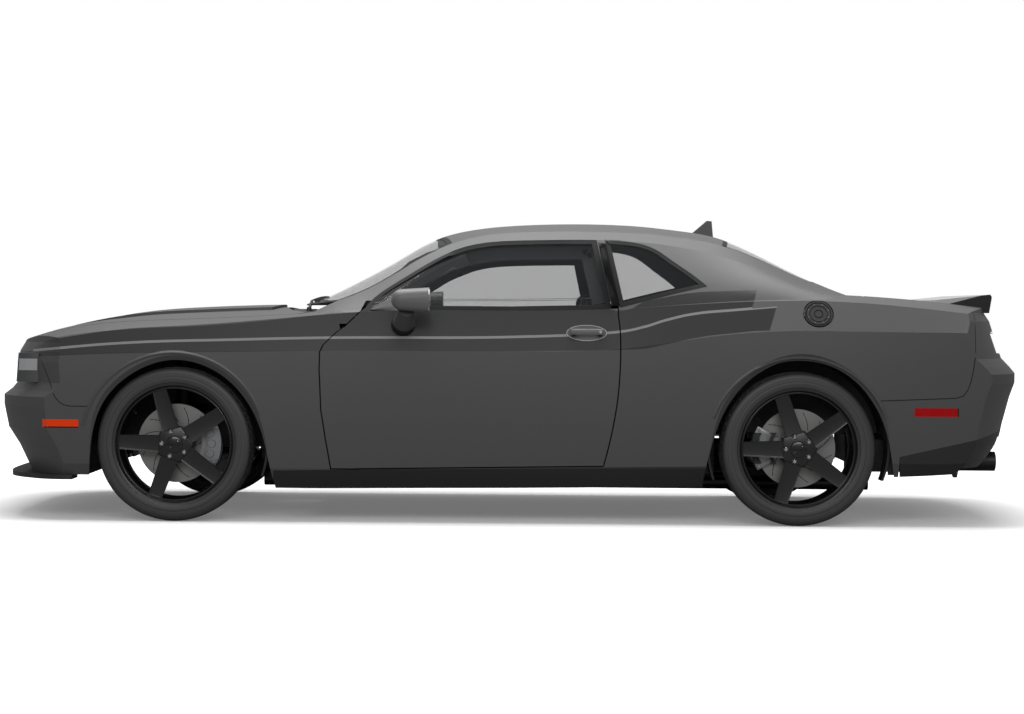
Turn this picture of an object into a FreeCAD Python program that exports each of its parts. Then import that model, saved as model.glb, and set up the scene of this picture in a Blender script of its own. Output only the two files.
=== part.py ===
import FreeCAD
import Part
import math
import os
import Sketcher
from FreeCAD import Placement, Rotation, Vector

# Two-door muscle car, nose towards -X, left side towards -Y, standing on Z = 0.
# The origin is on the ground, under the middle of the car's length and width.

PARTS_FOLDER = "parts"

# Driving sizes, in millimetres and degrees
SIZES = {
    # Whole car
    "body_length": 4980,
    "body_width": 1922,
    "roof_height": 1450,
    "wheelbase": 2946,
    "front_overhang": 915,
    "track_width": 1610,
    "front_corner_sweep": 330,
    "rear_corner_sweep": 250,
    # Walls and gaps
    "skin_thickness": 22,
    "door_inner_y": 835,
    "pillar_thickness": 38,
    "glass_thickness": 5,
    "glass_recess": 2,
    "shut_gap": 6,
    "lid_hinge_gap": 10,
    "lid_setback": 14,
    "door_corner_radius": 22,
    "door_corner_height": 26,
    "cowl_drop": 8,
    "seam_width": 4,
    "rebate_width": 14,
    "cut_overrun": 60,
    # Wheels and tyres
    "tyre_radius": 364,
    "tyre_width": 254,
    "rim_width": 232,
    "rim_seat_radius": 276,
    "rim_flange_radius": 288,
    "rim_flange_width": 12,
    "rim_wall": 12,
    "spoke_root_width": 88,
    "spoke_tip_width": 60,
    "spoke_root_radius": 50,
    "spoke_depth": 30,
    "spoke_inset": 14,
    "hub_radius": 80,
    "disc_radius": 186,
    "disc_thickness": 28,
    "disc_offset": 106,
    "spindle_radius": 30,
    "spindle_length": 112,
    "running_clearance": 0.08,
    "front_spoke_angle": -16,
    "rear_spoke_angle": -18,
    # Knuckles, brakes and suspension
    "kingpin_inset": 65,
    "kingpin_radius": 14,
    "knuckle_height": 280,
    "knuckle_length": 90,
    "knuckle_width": 62,
    "joint_boss_radius": 26,
    "joint_boss_length": 40,
    "joint_gap": 5,
    "caliper_outer_radius": 212,
    "caliper_inner_radius": 120,
    "caliper_width": 76,
    "caliper_length": 148,
    "pad_gap": 2,
    "arm_height": 30,
    "arm_span": 100,
    "arm_inner_y": 430,
    "damper_radius": 38,
    "damper_y": 560,
    "half_shaft_radius": 18,
    "steering_arm_length": 130,
    "steering_arm_width": 30,
    "steering_arm_height": 20,
    "tie_rod_radius": 11,
    "tie_rod_height": 272,
    "rack_radius": 28,
    "rack_length": 760,
    "pipe_radius": 30,
    "pipe_y": 210,
    "pipe_height": 154,
    "tailpipe_radius": 48,
    "tailpipe_wall": 4,
    "tailpipe_y": 480,
    "tailpipe_height": 290,
    "prop_shaft_radius": 38,
    "prop_shaft_height": 330,
    # Wheel housings
    "liner_wall": 10,
    "front_liner_radius": 444,
    "rear_liner_radius": 430,
    "inner_wing_y": 470,
    "rear_housing_y": 610,
    # Doors, lids and their hinges
    "door_hinge_x": 780,
    "door_hinge_y": 900,
    "door_hinge_swing": 130,
    "hinge_pocket_reach": 15,
    "hinge_pin_radius": 8,
    "hinge_arm_width": 20,
    "hinge_leaf_height": 36,
    "hood_hinge_x": 900,
    "hood_hinge_z": 940,
    "hood_arm_length": 115,
    "decklid_hinge_x": 1600,
    "decklid_hinge_z": 1018,
    "decklid_bracket_rise": 62,
    "decklid_arm_length": 150,
    "lid_arm_thickness": 16,
    "lid_bracket_size": 24,
    "fuel_lid_radius": 66,
    "fuel_lid_thickness": 14,
    "fuel_lid_angle": 26.7,
    "fuel_pin_radius": 2.5,
    "fuel_barrel_radius": 5,
    "fuel_barrel_length": 12,
    "fuel_lug_width": 7,
    "fuel_hinge_gap": 1.5,
    # Details that stand off the body
    "splitter_thickness": 22,
    "grille_inset": 60,
    "lamp_inset": 14,
    "lamp_thickness": 20,
    "headlamp_radius": 58,
    "headlamp_depth": 90,
    "mirror_round": 34,
    "handle_length": 150,
    "handle_height": 24,
    "handle_reach": 16,
    "handle_thickness": 12,
    "handle_dish_radius": 120,
    "handle_dish_depth": 16,
    "marker_depth": 6,
    "plate_hole_radius": 3.5,
    "arch_lip": 26,
    "dome_height": 14,
    "nostril_depth": 16,
    # Cabin
    "seat_round": 40,
    "steering_wheel_radius": 182,
    "steering_rim_radius": 16,
    "steering_hub_radius": 50,
    "steering_column_radius": 22,
    "steering_column_length": 170,
    "steering_wheel_angle": 22,
}

doc = FreeCAD.newDocument("MuscleCar")
sheet = doc.addObject("Spreadsheet::Sheet", "Sizes")
for row, (alias, number) in enumerate(SIZES.items(), start=1):
    sheet.set(f"A{row}", alias)
    sheet.set(f"B{row}", str(number))
    sheet.setAlias(f"B{row}", alias)
doc.recompute()


class Measure:
    """A length together with the formula that ties it to the sheet."""

    def __init__(self, value, formula):
        self.value = value
        self.formula = formula

    def __float__(self):
        return self.value

    def joined(self, sign, other, value):
        return Measure(value, f"({self.formula} {sign} {other.formula})")

    def __add__(self, other):
        other = as_measure(other)
        return self.joined("+", other, self.value + other.value)

    def __sub__(self, other):
        other = as_measure(other)
        return self.joined("-", other, self.value - other.value)

    def __mul__(self, other):
        other = as_measure(other)
        return self.joined("*", other, self.value * other.value)

    def __truediv__(self, other):
        other = as_measure(other)
        return self.joined("/", other, self.value / other.value)

    def __radd__(self, other):
        return as_measure(other) + self

    def __rsub__(self, other):
        return as_measure(other) - self

    def __rmul__(self, other):
        return as_measure(other) * self

    def __neg__(self):
        return as_measure(0) - self


def as_measure(number):
    return number if isinstance(number, Measure) else Measure(float(number), str(float(number)))


def cell(alias):
    """A driving size, tied to its cell in the sheet."""
    return Measure(float(sheet.get(alias)), "Sizes." + alias)


# Cross-sections of the lower body, as shares of half the length, half the width and the roof height:
# station, then sill, low side, mid side, crease, shoulder, fender crown, hood and the top at the centre
LOWER_BODY_SHARES = [
    (-1.044, (0.895, 0.141), (0.937, 0.186), (0.959, 0.359), (0.95, 0.503), (0.916, 0.521), (0.832, 0.528), (0.468, 0.534), 0.534),
    (-0.964, (0.911, 0.141), (0.952, 0.186), (0.97, 0.359), (0.96, 0.528), (0.926, 0.552), (0.832, 0.562), (0.468, 0.571), 0.571),
    (-0.884, (0.921, 0.138), (0.96, 0.186), (0.98, 0.359), (0.975, 0.538), (0.939, 0.583), (0.838, 0.603), (0.468, 0.615), 0.619),
    (-0.803, (0.924, 0.131), (0.966, 0.186), (0.988, 0.359), (0.984, 0.545), (0.945, 0.607), (0.838, 0.632), (0.468, 0.647), 0.652),
    (-0.723, (0.926, 0.124), (0.968, 0.186), (0.992, 0.366), (0.991, 0.55), (0.945, 0.626), (0.827, 0.648), (0.468, 0.666), 0.675),
    (-0.633, (0.926, 0.121), (0.969, 0.186), (0.995, 0.366), (0.995, 0.553), (0.945, 0.636), (0.817, 0.657), (0.447, 0.677), 0.688),
    (-0.522, (0.926, 0.114), (0.967, 0.179), (0.993, 0.359), (0.995, 0.556), (0.942, 0.65), (0.817, 0.666), (0.447, 0.686), 0.697),
    (-0.402, (0.921, 0.11), (0.963, 0.176), (0.986, 0.345), (0.992, 0.559), (0.933, 0.669), (0.812, 0.679), (0.468, 0.692), 0.701),
    (-0.241, (0.916, 0.112), (0.955, 0.176), (0.98, 0.345), (0.989, 0.561), (0.918, 0.69), (0.791, 0.693), (0.416, 0.695), 0.695),
    (0.0, (0.916, 0.116), (0.953, 0.179), (0.978, 0.345), (0.988, 0.564), (0.913, 0.694), (0.78, 0.697), (0.416, 0.698), 0.698),
    (0.201, (0.918, 0.121), (0.955, 0.183), (0.98, 0.345), (0.991, 0.572), (0.916, 0.703), (0.78, 0.708), (0.416, 0.71), 0.71),
    (0.382, (0.922, 0.128), (0.963, 0.186), (0.989, 0.359), (0.999, 0.616), (0.924, 0.724), (0.775, 0.738), (0.416, 0.741), 0.741),
    (0.551, (0.926, 0.138), (0.968, 0.193), (0.996, 0.366), (1, 0.637), (0.926, 0.735), (0.775, 0.753), (0.416, 0.757), 0.759),
    (0.683, (0.924, 0.145), (0.965, 0.207), (0.992, 0.372), (0.996, 0.636), (0.923, 0.728), (0.786, 0.746), (0.416, 0.754), 0.756),
    (0.803, (0.916, 0.155), (0.955, 0.207), (0.98, 0.386), (0.983, 0.635), (0.916, 0.71), (0.791, 0.73), (0.416, 0.739), 0.741),
    (0.904, (0.9, 0.172), (0.937, 0.221), (0.961, 0.4), (0.963, 0.632), (0.897, 0.691), (0.786, 0.71), (0.416, 0.721), 0.724),
    (1.044, (0.843, 0.2), (0.884, 0.241), (0.908, 0.414), (0.911, 0.617), (0.853, 0.659), (0.749, 0.676), (0.416, 0.69), 0.693),
]

# Cross-sections of the cabin, in the same shares: station, belt, mid glass, roof rail, roof edge, centre
CABIN_SHARES = [
    (-0.426, (0.869, 0.638), (0.848, 0.647), (0.822, 0.655), (0.728, 0.668), 0.701),
    (-0.373, (0.884, 0.648), (0.864, 0.661), (0.832, 0.674), (0.734, 0.695), 0.735),
    (-0.333, (0.895, 0.659), (0.874, 0.672), (0.848, 0.69), (0.744, 0.721), 0.767),
    (-0.281, (0.901, 0.666), (0.874, 0.69), (0.83, 0.717), (0.741, 0.756), 0.814),
    (-0.227, (0.903, 0.672), (0.862, 0.717), (0.803, 0.769), (0.728, 0.808), 0.866),
    (-0.183, (0.905, 0.676), (0.853, 0.745), (0.778, 0.818), (0.706, 0.857), 0.912),
    (-0.141, (0.905, 0.679), (0.845, 0.766), (0.754, 0.862), (0.682, 0.895), 0.946),
    (-0.098, (0.905, 0.679), (0.841, 0.779), (0.736, 0.897), (0.666, 0.924), 0.967),
    (-0.054, (0.905, 0.679), (0.839, 0.786), (0.724, 0.917), (0.652, 0.943), 0.98),
    (0.031, (0.903, 0.679), (0.836, 0.79), (0.716, 0.928), (0.637, 0.957), 0.993),
    (0.118, (0.905, 0.681), (0.836, 0.792), (0.713, 0.932), (0.63, 0.961), 0.998),
    (0.204, (0.908, 0.686), (0.838, 0.793), (0.713, 0.93), (0.624, 0.959), 0.997),
    (0.261, (0.914, 0.693), (0.841, 0.793), (0.715, 0.924), (0.622, 0.955), 0.992),
    (0.335, (0.922, 0.7), (0.848, 0.79), (0.718, 0.907), (0.619, 0.942), 0.979),
    (0.414, (0.928, 0.703), (0.862, 0.779), (0.723, 0.877), (0.616, 0.917), 0.956),
    (0.493, (0.933, 0.703), (0.879, 0.766), (0.737, 0.833), (0.616, 0.866), 0.901),
    (0.572, (0.934, 0.7), (0.89, 0.741), (0.758, 0.783), (0.624, 0.807), 0.832),
    (0.635, (0.933, 0.693), (0.893, 0.724), (0.775, 0.75), (0.637, 0.767), 0.782),
    (0.691, (0.928, 0.683), (0.89, 0.71), (0.788, 0.73), (0.65, 0.741), 0.748),
]

# Side-view outlines, as shares of half the length and the roof height
NOSE_SHARES = [
    (-0.945, 0.04), (-0.945, 0.149), (-0.969, 0.234), (-0.991, 0.293), (-1, 0.369), (-1, 0.401),
    (-0.984, 0.422), (-0.972, 0.447), (-0.973, 0.514), (-0.969, 0.548), (-0.958, 0.579), (-0.948, 0.69),
]
TAIL_SHARES = [
    (0.924, 0.04), (0.924, 0.181), (0.938, 0.193), (0.953, 0.221), (0.968, 0.266), (0.976, 0.331),
    (0.99, 0.422), (1, 0.469), (1, 0.5), (0.989, 0.522), (0.973, 0.55), (0.957, 0.629),
    (0.949, 0.672), (0.938, 0.7), (0.932, 0.766),
]
DOOR_REAR_SHARES = [(0.206, 0.68), (0.209, 0.635), (0.21, 0.57), (0.205, 0.408), (0.196, 0.31), (0.18, 0.193)]
DOOR_CORNER_SHARES = [(-0.313, 0.634), (-0.282, 0.686), (-0.273, 0.72)]
WINDOW_SHARES = [
    (-0.280, 0.680), (-0.265, 0.721), (-0.227, 0.773), (-0.183, 0.821), (-0.141, 0.864), (-0.098, 0.898),
    (-0.054, 0.917), (0.031, 0.928), (0.118, 0.931), (0.204, 0.929), (0.247, 0.921), (0.282, 0.9),
    (0.312, 0.864), (0.343, 0.827), (0.378, 0.779),
]
WINDOW_REAR_FOOT_SHARES = [(0.323, 0.757), (0.26, 0.729), (0.197, 0.701)]
PILLAR_LINE_SHARES = [(0.165, 0.95), (0.197, 0.690)]
FRONT_SEAM_SHARES = [(-0.895, 0.66), (-0.889, 0.525), (-0.851, 0.39), (-0.839, 0.373), (-0.763, 0.37)]
REAR_SEAM_SHARES = [(0.887, 0.79), (0.886, 0.616), (0.877, 0.495), (0.863, 0.437), (0.843, 0.425), (0.703, 0.414)]

# Wheel arch outlines about the wheel centre, as shares of the tyre radius
FRONT_ARCH_SHARES = [
    (-1.16, -0.62), (-1.10, -0.34), (-1.075, -0.016), (-0.907, 0.55), (-0.51, 0.934), (0, 1.093),
    (0.51, 0.96), (0.92, 0.60), (1.154, 0.11), (1.253, -0.32), (1.33, -0.62),
]
REAR_ARCH_SHARES = [
    (-1.25, -0.62), (-1.206, -0.26), (-1.13, 0.05), (-0.937, 0.55), (-0.58, 0.934), (-0.02, 1.148),
    (0.547, 0.99), (0.96, 0.60), (1.168, 0.07), (1.25, -0.37), (1.33, -0.62),
]

# Plan-view outlines of half a panel, as shares of half the length and half the width:
# each run of points is one smooth edge, from the centre line round to the centre line
HOOD_SHARES = [
    [(-0.951, 0), (-0.949, 0.35), (-0.931, 0.62), (-0.899, 0.79)],
    [(-0.899, 0.79), (-0.633, 0.812), (-0.40, 0.808)],
    [(-0.40, 0.808), (-0.385, 0.765)],
    [(-0.385, 0.765), (-0.425, 0.42), (-0.442, 0)],
]
WINDSHIELD_SHARES = [
    [(-0.412, 0), (-0.392, 0.40), (-0.335, 0.737)],
    [(-0.335, 0.737), (-0.227, 0.728), (-0.141, 0.682), (-0.112, 0.656)],
    [(-0.112, 0.656), (-0.125, 0.40), (-0.142, 0)],
]
ROOF_PANEL_SHARES = [
    [(-0.142, 0), (-0.125, 0.40), (-0.112, 0.656)],
    [(-0.112, 0.656), (0.031, 0.637), (0.204, 0.624), (0.412, 0.618)],
    [(0.412, 0.618), (0.422, 0.40), (0.427, 0)],
]
REAR_GLASS_SHARES = [
    [(0.427, 0), (0.422, 0.40), (0.412, 0.618)],
    [(0.412, 0.618), (0.493, 0.612), (0.590, 0.616)],
    [(0.590, 0.616), (0.612, 0.40), (0.622, 0)],
]
DECKLID_SHARES = [
    [(0.694, 0), (0.692, 0.40), (0.686, 0.69)],
    [(0.686, 0.69), (0.84, 0.70), (1.1, 0.69)],
    [(1.1, 0.69), (1.1, 0)],
]

# Heights along the body, as shares of the roof height
TAIL_LAMP_SHARES = (0.565, 0.632)
SPLITTER_TOP_SHARE = 0.149
DOOR_FOOT_SHARE = 0.1775


# Radius of the door's turned front edge about its hinge, as height and length shares
DOOR_EDGE_SHARES = [(0.1775, 0.023), (0.27, 0.034), (0.368, 0.044), (0.497, 0.048), (0.556, 0.0474), (0.579, 0.040), (0.624, 0.012), (0.638, 0.0)]
DOOR_TOP_SHARE = 0.72
PILLAR_WIDTH_SHARE = 0.016
COWL_SHARES = [
    [(-0.50, 0), (-0.50, 0.72)],
    [(-0.50, 0.72), (-0.385, 0.765), (-0.325, 0.735)],
    [(-0.325, 0.735), (-0.378, 0.40), (-0.398, 0)],
]
TULIP_SHARES = [
    [(0.622, 0), (0.612, 0.40), (0.590, 0.616)],
    [(0.590, 0.616), (0.62, 0.69)],
    [(0.62, 0.69), (0.71, 0.69)],
    [(0.71, 0.69), (0.71, 0)],
]
SPLITTER_SHARES = [
    [(-0.979, 0), (-0.976, 0.4), (-0.955, 0.7), (-0.91, 0.86)],
    [(-0.91, 0.86), (-0.86, 0.95), (-0.826, 0.955)],
    [(-0.826, 0.955), (-0.826, 0.80)],
    [(-0.826, 0.80), (-0.90, 0.70)],
    [(-0.90, 0.70), (-0.90, 0)],
]
SILL_TOP_SHARES = [(-0.445, 0.169), (0.376, 0.1935)]
FENDER_REAR_SHARE = -0.283
VALANCE_TOP_SHARES = [(0.741, 0.230), (0.941, 0.308), (1.1, 0.37)]
VALANCE_FOOT_SHARES = [(1.1, 0.30), (0.947, 0.288), (0.935, 0.252), (0.904, 0.191), (0.858, 0.193), (0.854, 0.162), (0.794, 0.163), (0.744, 0.149)]

# Boxes as shares of half the length, half the width and the roof height
GRILLE_SLOT_BOX_SHARES = (-1.1, -0.85, -0.83, 0.83, 0.446, 0.538)
INTAKE_BOX_SHARES = (-1.1, -0.90, -0.57, 0.57, 0.205, 0.325)
GRILLE_ZONE_SHARES = (-1.1, -0.75, -0.90, 0.90, 0.42, 0.56)
INTAKE_ZONE_SHARES = (-1.1, -0.75, -0.64, 0.64, 0.18, 0.35)
TAIL_LAMP_BOX_SHARES = (0.9, 1.1, -0.74, 0.74, 0.565, 0.632)
SIDE_WALL_SHARES = (0.15, 0.36, -1.1, -0.869, 0.16, 0.735)
DOOR_POST_SHARES = (-0.402, -0.34, -1.1, -0.869, 0.12, 0.66)
HEADLAMP_Y_SHARES = (0.53, 0.74)
HEADLAMP_Z_SHARE = 0.492
HEADLAMP_SETBACK_SHARE = 0.3

# Half of the tyre's outline: shares of its width and of the sidewall's height
TYRE_PROFILE_SHARES = [(0.04, 0.0), (0.012, 0.12), (0.0, 0.36), (0.004, 0.62), (0.026, 0.84), (0.07, 0.965), (0.115, 1.0)]
FRONT_FRAME_SHARES = [
    (-0.91, -0.393, 0.411, 0.484, 0.228, 0.297),
    (-0.68, -0.585, -0.463, 0.463, 0.121, 0.176),
    (-0.66, -0.61, 0.411, 0.463, 0.176, 0.228),
    (-0.65, -0.565, -0.08, 0.08, 0.176, 0.207),
    (-0.645, -0.625, 0.21, 0.31, 0.176, 0.221),
    (-0.91, -0.393, 0.481, 0.489, 0.297, 0.575),
    (-0.90, -0.87, -0.411, 0.411, 0.228, 0.262),
    (-0.885, -0.87, -0.39, 0.39, 0.262, 0.55),
    (-0.655, -0.61, 0.484, 0.63, 0.535, 0.545),
]
TOWER_SHARE = 0.535
TRUNK_FLOOR_SHARE = 0.297
REAR_ARM_SHARE = 0.159
FINAL_DRIVE_FRONT_SHARE = 0.494
REAR_FRAME_SHARES = [
    (0.494, 0.606, -0.135, 0.135, 0.166, 0.290),
    (0.47, 0.50, -0.32, 0.32, 0.138, 0.166),
    (0.60, 0.63, -0.32, 0.32, 0.138, 0.166),
    (0.47, 0.63, 0.27, 0.32, 0.138, 0.166),
    (0.535, 0.567, 0.31, 0.76, 0.138, 0.159),
    (0.535, 0.567, 0.73, 0.76, 0.155, 0.18),
    (0.535, 0.567, 0.27, 0.32, 0.166, 0.297),
]
ENGINE_SHARES = (-0.735, -0.466, -0.333, 0.333, 0.221, 0.593)
GEARBOX_SHARES = (-0.466, -0.137, -0.156, 0.156, 0.172, 0.29)
SILENCER_SHARES = (0.70, 0.835, 0.19, 0.62, 0.166, 0.262)
TIP_END_SHARE = 0.957
STEERING_WHEEL_SHARES = (-0.165, -0.385, 0.61)

FLOOR_SHARES = [
    (-0.386, 0.26, 0.168, 0.863, 0.131, 0.142),
    (-0.386, 0.26, 0.165, 0.176, 0.131, 0.3),
    (-0.386, 0.26, 0.0, 0.176, 0.297, 0.306),
    (-0.446, 0.372, 0.806, 0.863, 0.12, 0.228),
    (0.253, 0.26, 0.165, 0.863, 0.131, 0.303),
    (0.253, 0.935, 0.0, 0.95, 0.297, 0.306),
    (-0.392, -0.386, 0.17, 0.863, 0.131, 0.603),
    (-0.392, -0.386, 0.0, 0.17, 0.3, 0.603),
    (-0.392, -0.335, 0.0, 0.863, 0.595, 0.603),
    (-0.340, -0.335, 0.0, 0.655, 0.603, 0.70),
    (-0.386, -0.30, 0.785, 0.863, 0.228, 0.638),
    (0.185, 0.22, 0.815, 0.863, 0.228, 0.66),
    (0.466, 0.473, 0.0, 0.64, 0.306, 0.69),
    (0.45, 0.62, 0.0, 0.70, 0.682, 0.69),
    (-0.90, -0.405, 0.489, 0.93, 0.575, 0.583),
]
PLENUM_ROW = 8
CABIN_CORE_SHARES = (-0.36, 0.64, -0.863, 0.863, 0.1, 0.7)
HOUSING_FOOT_SHARE = 0.15
DASHBOARD_SHARES = [(-0.386, 0.42), (-0.25, 0.44), (-0.225, 0.55), (-0.24, 0.625), (-0.28, 0.668), (-0.335, 0.672), (-0.335, 0.595), (-0.386, 0.595)]
CONSOLE_SHARES = [(-0.26, 0.306), (0.12, 0.306), (0.12, 0.42), (-0.08, 0.42), (-0.24, 0.46), (-0.26, 0.46)]
SEAT_Y_SHARES = (0.185, 0.66)
SEAT_BASE_SHARES = [(-0.10, 0.142), (0.05, 0.142), (0.05, 0.235), (-0.10, 0.235)]
SEAT_CUSHION_SHARES = [(-0.145, 0.225), (0.075, 0.2), (0.085, 0.30), (-0.145, 0.335)]
SEAT_BACK_SHARES = [(0.045, 0.235), (0.10, 0.235), (0.17, 0.67), (0.125, 0.68)]
HEADREST_SHARES = [(0.135, 0.665), (0.165, 0.66), (0.175, 0.765), (0.135, 0.765)]
HEADREST_WIDTH_SHARE = 0.11
REAR_CUSHION_SHARES = [(0.26, 0.306), (0.42, 0.306), (0.42, 0.365), (0.26, 0.395)]
REAR_BACK_SHARES = [(0.40, 0.36), (0.45, 0.36), (0.455, 0.66), (0.43, 0.68)]
SPOILER_SHARES = [(0.826, 0.735), (0.826, 0.742), (0.933, 0.762), (0.936, 0.753), (0.931, 0.70), (0.90, 0.70)]
SPOILER_WIDTH_SHARE = 0.66
FUEL_LID_SHARES = (0.585, -0.957, 0.693)
DOOR_HINGE_SHARES = (0.27, 0.53)
DOOR_POST_INNER_SHARE = 0.80
MIRROR_SHARES = (-0.222, -0.149, -1.17, -1.005, 0.686, 0.768)
MIRROR_FOOT_X_SHARES = (-0.215, -0.172)
MIRROR_FOOT_SHARES = [(-0.93, 0.632), (-0.93, 0.668), (-1.02, 0.70), (-1.06, 0.70), (-1.02, 0.672)]
FIN_SHARES = [(0.366, 0.955), (0.372, 0.972), (0.402, 1.0165), (0.412, 1.015), (0.416, 0.945)]
FIN_WIDTH_SHARE = 0.009
MARKER_SHARES = [(-0.882, -0.812, 0.305, 0.33), (0.767, 0.85, 0.362, 0.39)]
PLATE_PAD_SHARES = (0.974, 0.982, -0.182, 0.182, 0.369, 0.476)
PLATE_RECESS_SHARES = (0.982, 1.1, -0.172, 0.172, 0.376, 0.469)
PLATE_HOLE_SHARES = (0.0926, 0.0303)
HANDLE_SHARES = (0.147, 0.628)
HOOD_DOME_SHARES = [
    [(-0.915, 0), (-0.905, 0.20), (-0.86, 0.33)],
    [(-0.86, 0.33), (-0.70, 0.385), (-0.47, 0.40)],
    [(-0.47, 0.40), (-0.462, 0.20), (-0.458, 0)],
]
NOSTRIL_SHARES = [(-0.80, 0.12), (-0.80, 0.29), (-0.745, 0.31), (-0.745, 0.12)]

# Centre lines of the lids' curved hinge arms about their pivots, as shares of the arm's length
HOOD_ARM_SHARES = [(0, 0), (-0.47, -0.44), (-0.826, -0.44), (-1.0, 0.27)]
DECKLID_ARM_SHARES = [(0, 0), (0.24, -0.693), (0.44, -0.867), (0.84, -0.80), (1.1, 0.50)]
HOOD_ARM_Y_SHARE = 0.72
DECKLID_ARM_Y_SHARE = 0.615


def along(share):
    return cell("body_length") * (share / 2)


def across(share):
    return cell("body_width") * (share / 2)


def height(share):
    return cell("roof_height") * share


# Values that several pieces share
OVERRUN = cell("cut_overrun")
SKIN = cell("skin_thickness")
GAP = cell("shut_gap")
HALF_WIDTH = across(1)
TYRE = cell("tyre_radius")
FRONT_AXLE = cell("front_overhang") - along(1)
REAR_AXLE = FRONT_AXLE + cell("wheelbase")
WHEEL_Y = cell("track_width") / 2
KINGPIN_Y = WHEEL_Y - cell("kingpin_inset")
DOOR_INNER = cell("door_inner_y")
CLEARANCE = cell("running_clearance")
ZERO = as_measure(0)
ORIGIN = Vector(0, 0, 0)
X_AXIS = Vector(1, 0, 0)
Y_AXIS = Vector(0, 1, 0)
Z_AXIS = Vector(0, 0, 1)

nodes = {}


def finish_node(label, feature):
    """Names a finished piece, which is then written to its own file."""
    feature.Label = label
    nodes[label] = feature
    return feature


def bind(feature, measures):
    for name, measure in measures.items():
        feature.setExpression(name, as_measure(measure).formula)


# Pieces made of primitives and booleans
def box(name, low_x, high_x, low_y, high_y, low_z, high_z):
    feature = doc.addObject("Part::Box", name)
    bind(feature, {"Length": high_x - low_x, "Width": high_y - low_y, "Height": high_z - low_z})
    bind(feature, {"Placement.Base.x": low_x, "Placement.Base.y": low_y, "Placement.Base.z": low_z})
    return feature


def share_box(name, shares):
    """A box given by shares of half the length, half the width and the roof height."""
    low_x, high_x, low_y, high_y, low_z, high_z = shares
    return box(name, along(low_x), along(high_x), across(low_y), across(high_y), height(low_z), height(high_z))


def share_boxes(name, table):
    """Boxes from a table of shares; those off the centre line come in pairs, left and right."""
    boxes = []
    for i, shares in enumerate(table):
        boxes.append(share_box(f"{name}_{i}", shares))
        if shares[2] >= 0:
            boxes.append(share_box(f"{name}_{i}_left", shares[:2] + (-shares[3], -shares[2]) + shares[4:]))
    return boxes


def cylinder(name, radius, length, x, y, z, axis=Z_AXIS):
    feature = doc.addObject("Part::Cylinder", name)
    feature.Placement = Placement(ORIGIN, Rotation(Z_AXIS, axis))
    bind(feature, {"Radius": radius, "Height": length})
    bind(feature, {"Placement.Base.x": x, "Placement.Base.y": y, "Placement.Base.z": z})
    return feature


def fuse(name, features):
    feature = doc.addObject("Part::MultiFuse", name)
    feature.Shapes = features
    return feature


def cut(name, base, tools):
    """The base feature less one or more tools."""
    feature = doc.addObject("Part::Cut", name)
    feature.Base = base
    feature.Tool = tools[0] if len(tools) == 1 else fuse(name + "_tools", tools)
    return feature


def common(name, first, second):
    feature = doc.addObject("Part::Common", name)
    feature.Base = first
    feature.Tool = second
    return feature


def mirror(name, source):
    feature = doc.addObject("Part::Mirroring", name)
    feature.Source = source
    feature.Normal = Y_AXIS
    return feature


def both_sides(name, features):
    """The features with their mirror images on the right side."""
    return features + [mirror(f"{name}_{i}_right", feature) for i, feature in enumerate(features)]


# Pieces made of sketches and features
def origin_feature(body, role):
    return next(item for item in body.Origin.OriginFeatures if item.Role == role)


def sketch_outline(body, name, role, points):
    """A closed outline of straight lines whose corners are all tied to the sheet."""
    sketch = body.newObject("Sketcher::SketchObject", name)
    sketch.AttachmentSupport = [(origin_feature(body, role), "")]
    sketch.MapMode = "FlatFace"
    points = [(as_measure(first), as_measure(second)) for first, second in points]
    corners = [Vector(float(first), float(second), 0) for first, second in points]
    for i, corner in enumerate(corners):
        sketch.addGeometry(Part.LineSegment(corner, corners[(i + 1) % len(corners)]), False)
    for i in range(len(corners)):
        sketch.addConstraint(Sketcher.Constraint("Coincident", i, 2, (i + 1) % len(corners), 1))
    for i, (first, second) in enumerate(points):
        for kind, measure in (("DistanceX", first), ("DistanceY", second)):
            number = sketch.addConstraint(Sketcher.Constraint(kind, -1, 1, i, 1, float(measure)))
            sketch.setExpression(f"Constraints[{number}]", measure.formula)
    return sketch


def revolve(body, name, points):
    """An outline turned about the body's X axis."""
    feature = body.newObject("PartDesign::Revolution", name)
    feature.Profile = sketch_outline(body, name + "_outline", "XY_Plane", points)
    feature.ReferenceAxis = (origin_feature(body, "X_Axis"), [""])
    feature.Angle = 360
    return feature


def place_wheel_part(body, axle, angle):
    """Lays the body's X axis outwards on the left side, at the wheel's inner face."""
    body.Placement = Placement(ORIGIN, Rotation(Y_AXIS, angle) * Rotation(Z_AXIS, -90))
    bind(body, {"Placement.Base.x": axle, "Placement.Base.y": cell("tyre_width") / 2 - WHEEL_Y, "Placement.Base.z": TYRE})


# Shapes cut straight from the body's surfaces
def add_shape(label, shape):
    feature = doc.addObject("Part::Feature", label)
    feature.Shape = shape
    return finish_node(label, feature)


def add_pair(name, left_shape):
    add_shape(name + "_left", left_shape)
    add_shape(name + "_right", left_shape.mirror(ORIGIN, Y_AXIS))


def solid_box(low_x, high_x, low_y, high_y, low_z, high_z):
    low = Vector(float(low_x), float(low_y), float(low_z))
    return Part.makeBox(float(high_x) - low.x, float(high_y) - low.y, float(high_z) - low.z, low)


def share_solid(shares):
    low_x, high_x, low_y, high_y, low_z, high_z = shares
    return solid_box(along(low_x), along(high_x), across(low_y), across(high_y), height(low_z), height(high_z))


def spline_edge(points):
    curve = Part.BSplineCurve()
    curve.interpolate(points)
    return curve.toShape()


def polygon(points):
    return Part.makePolygon(points + points[:1])


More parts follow.
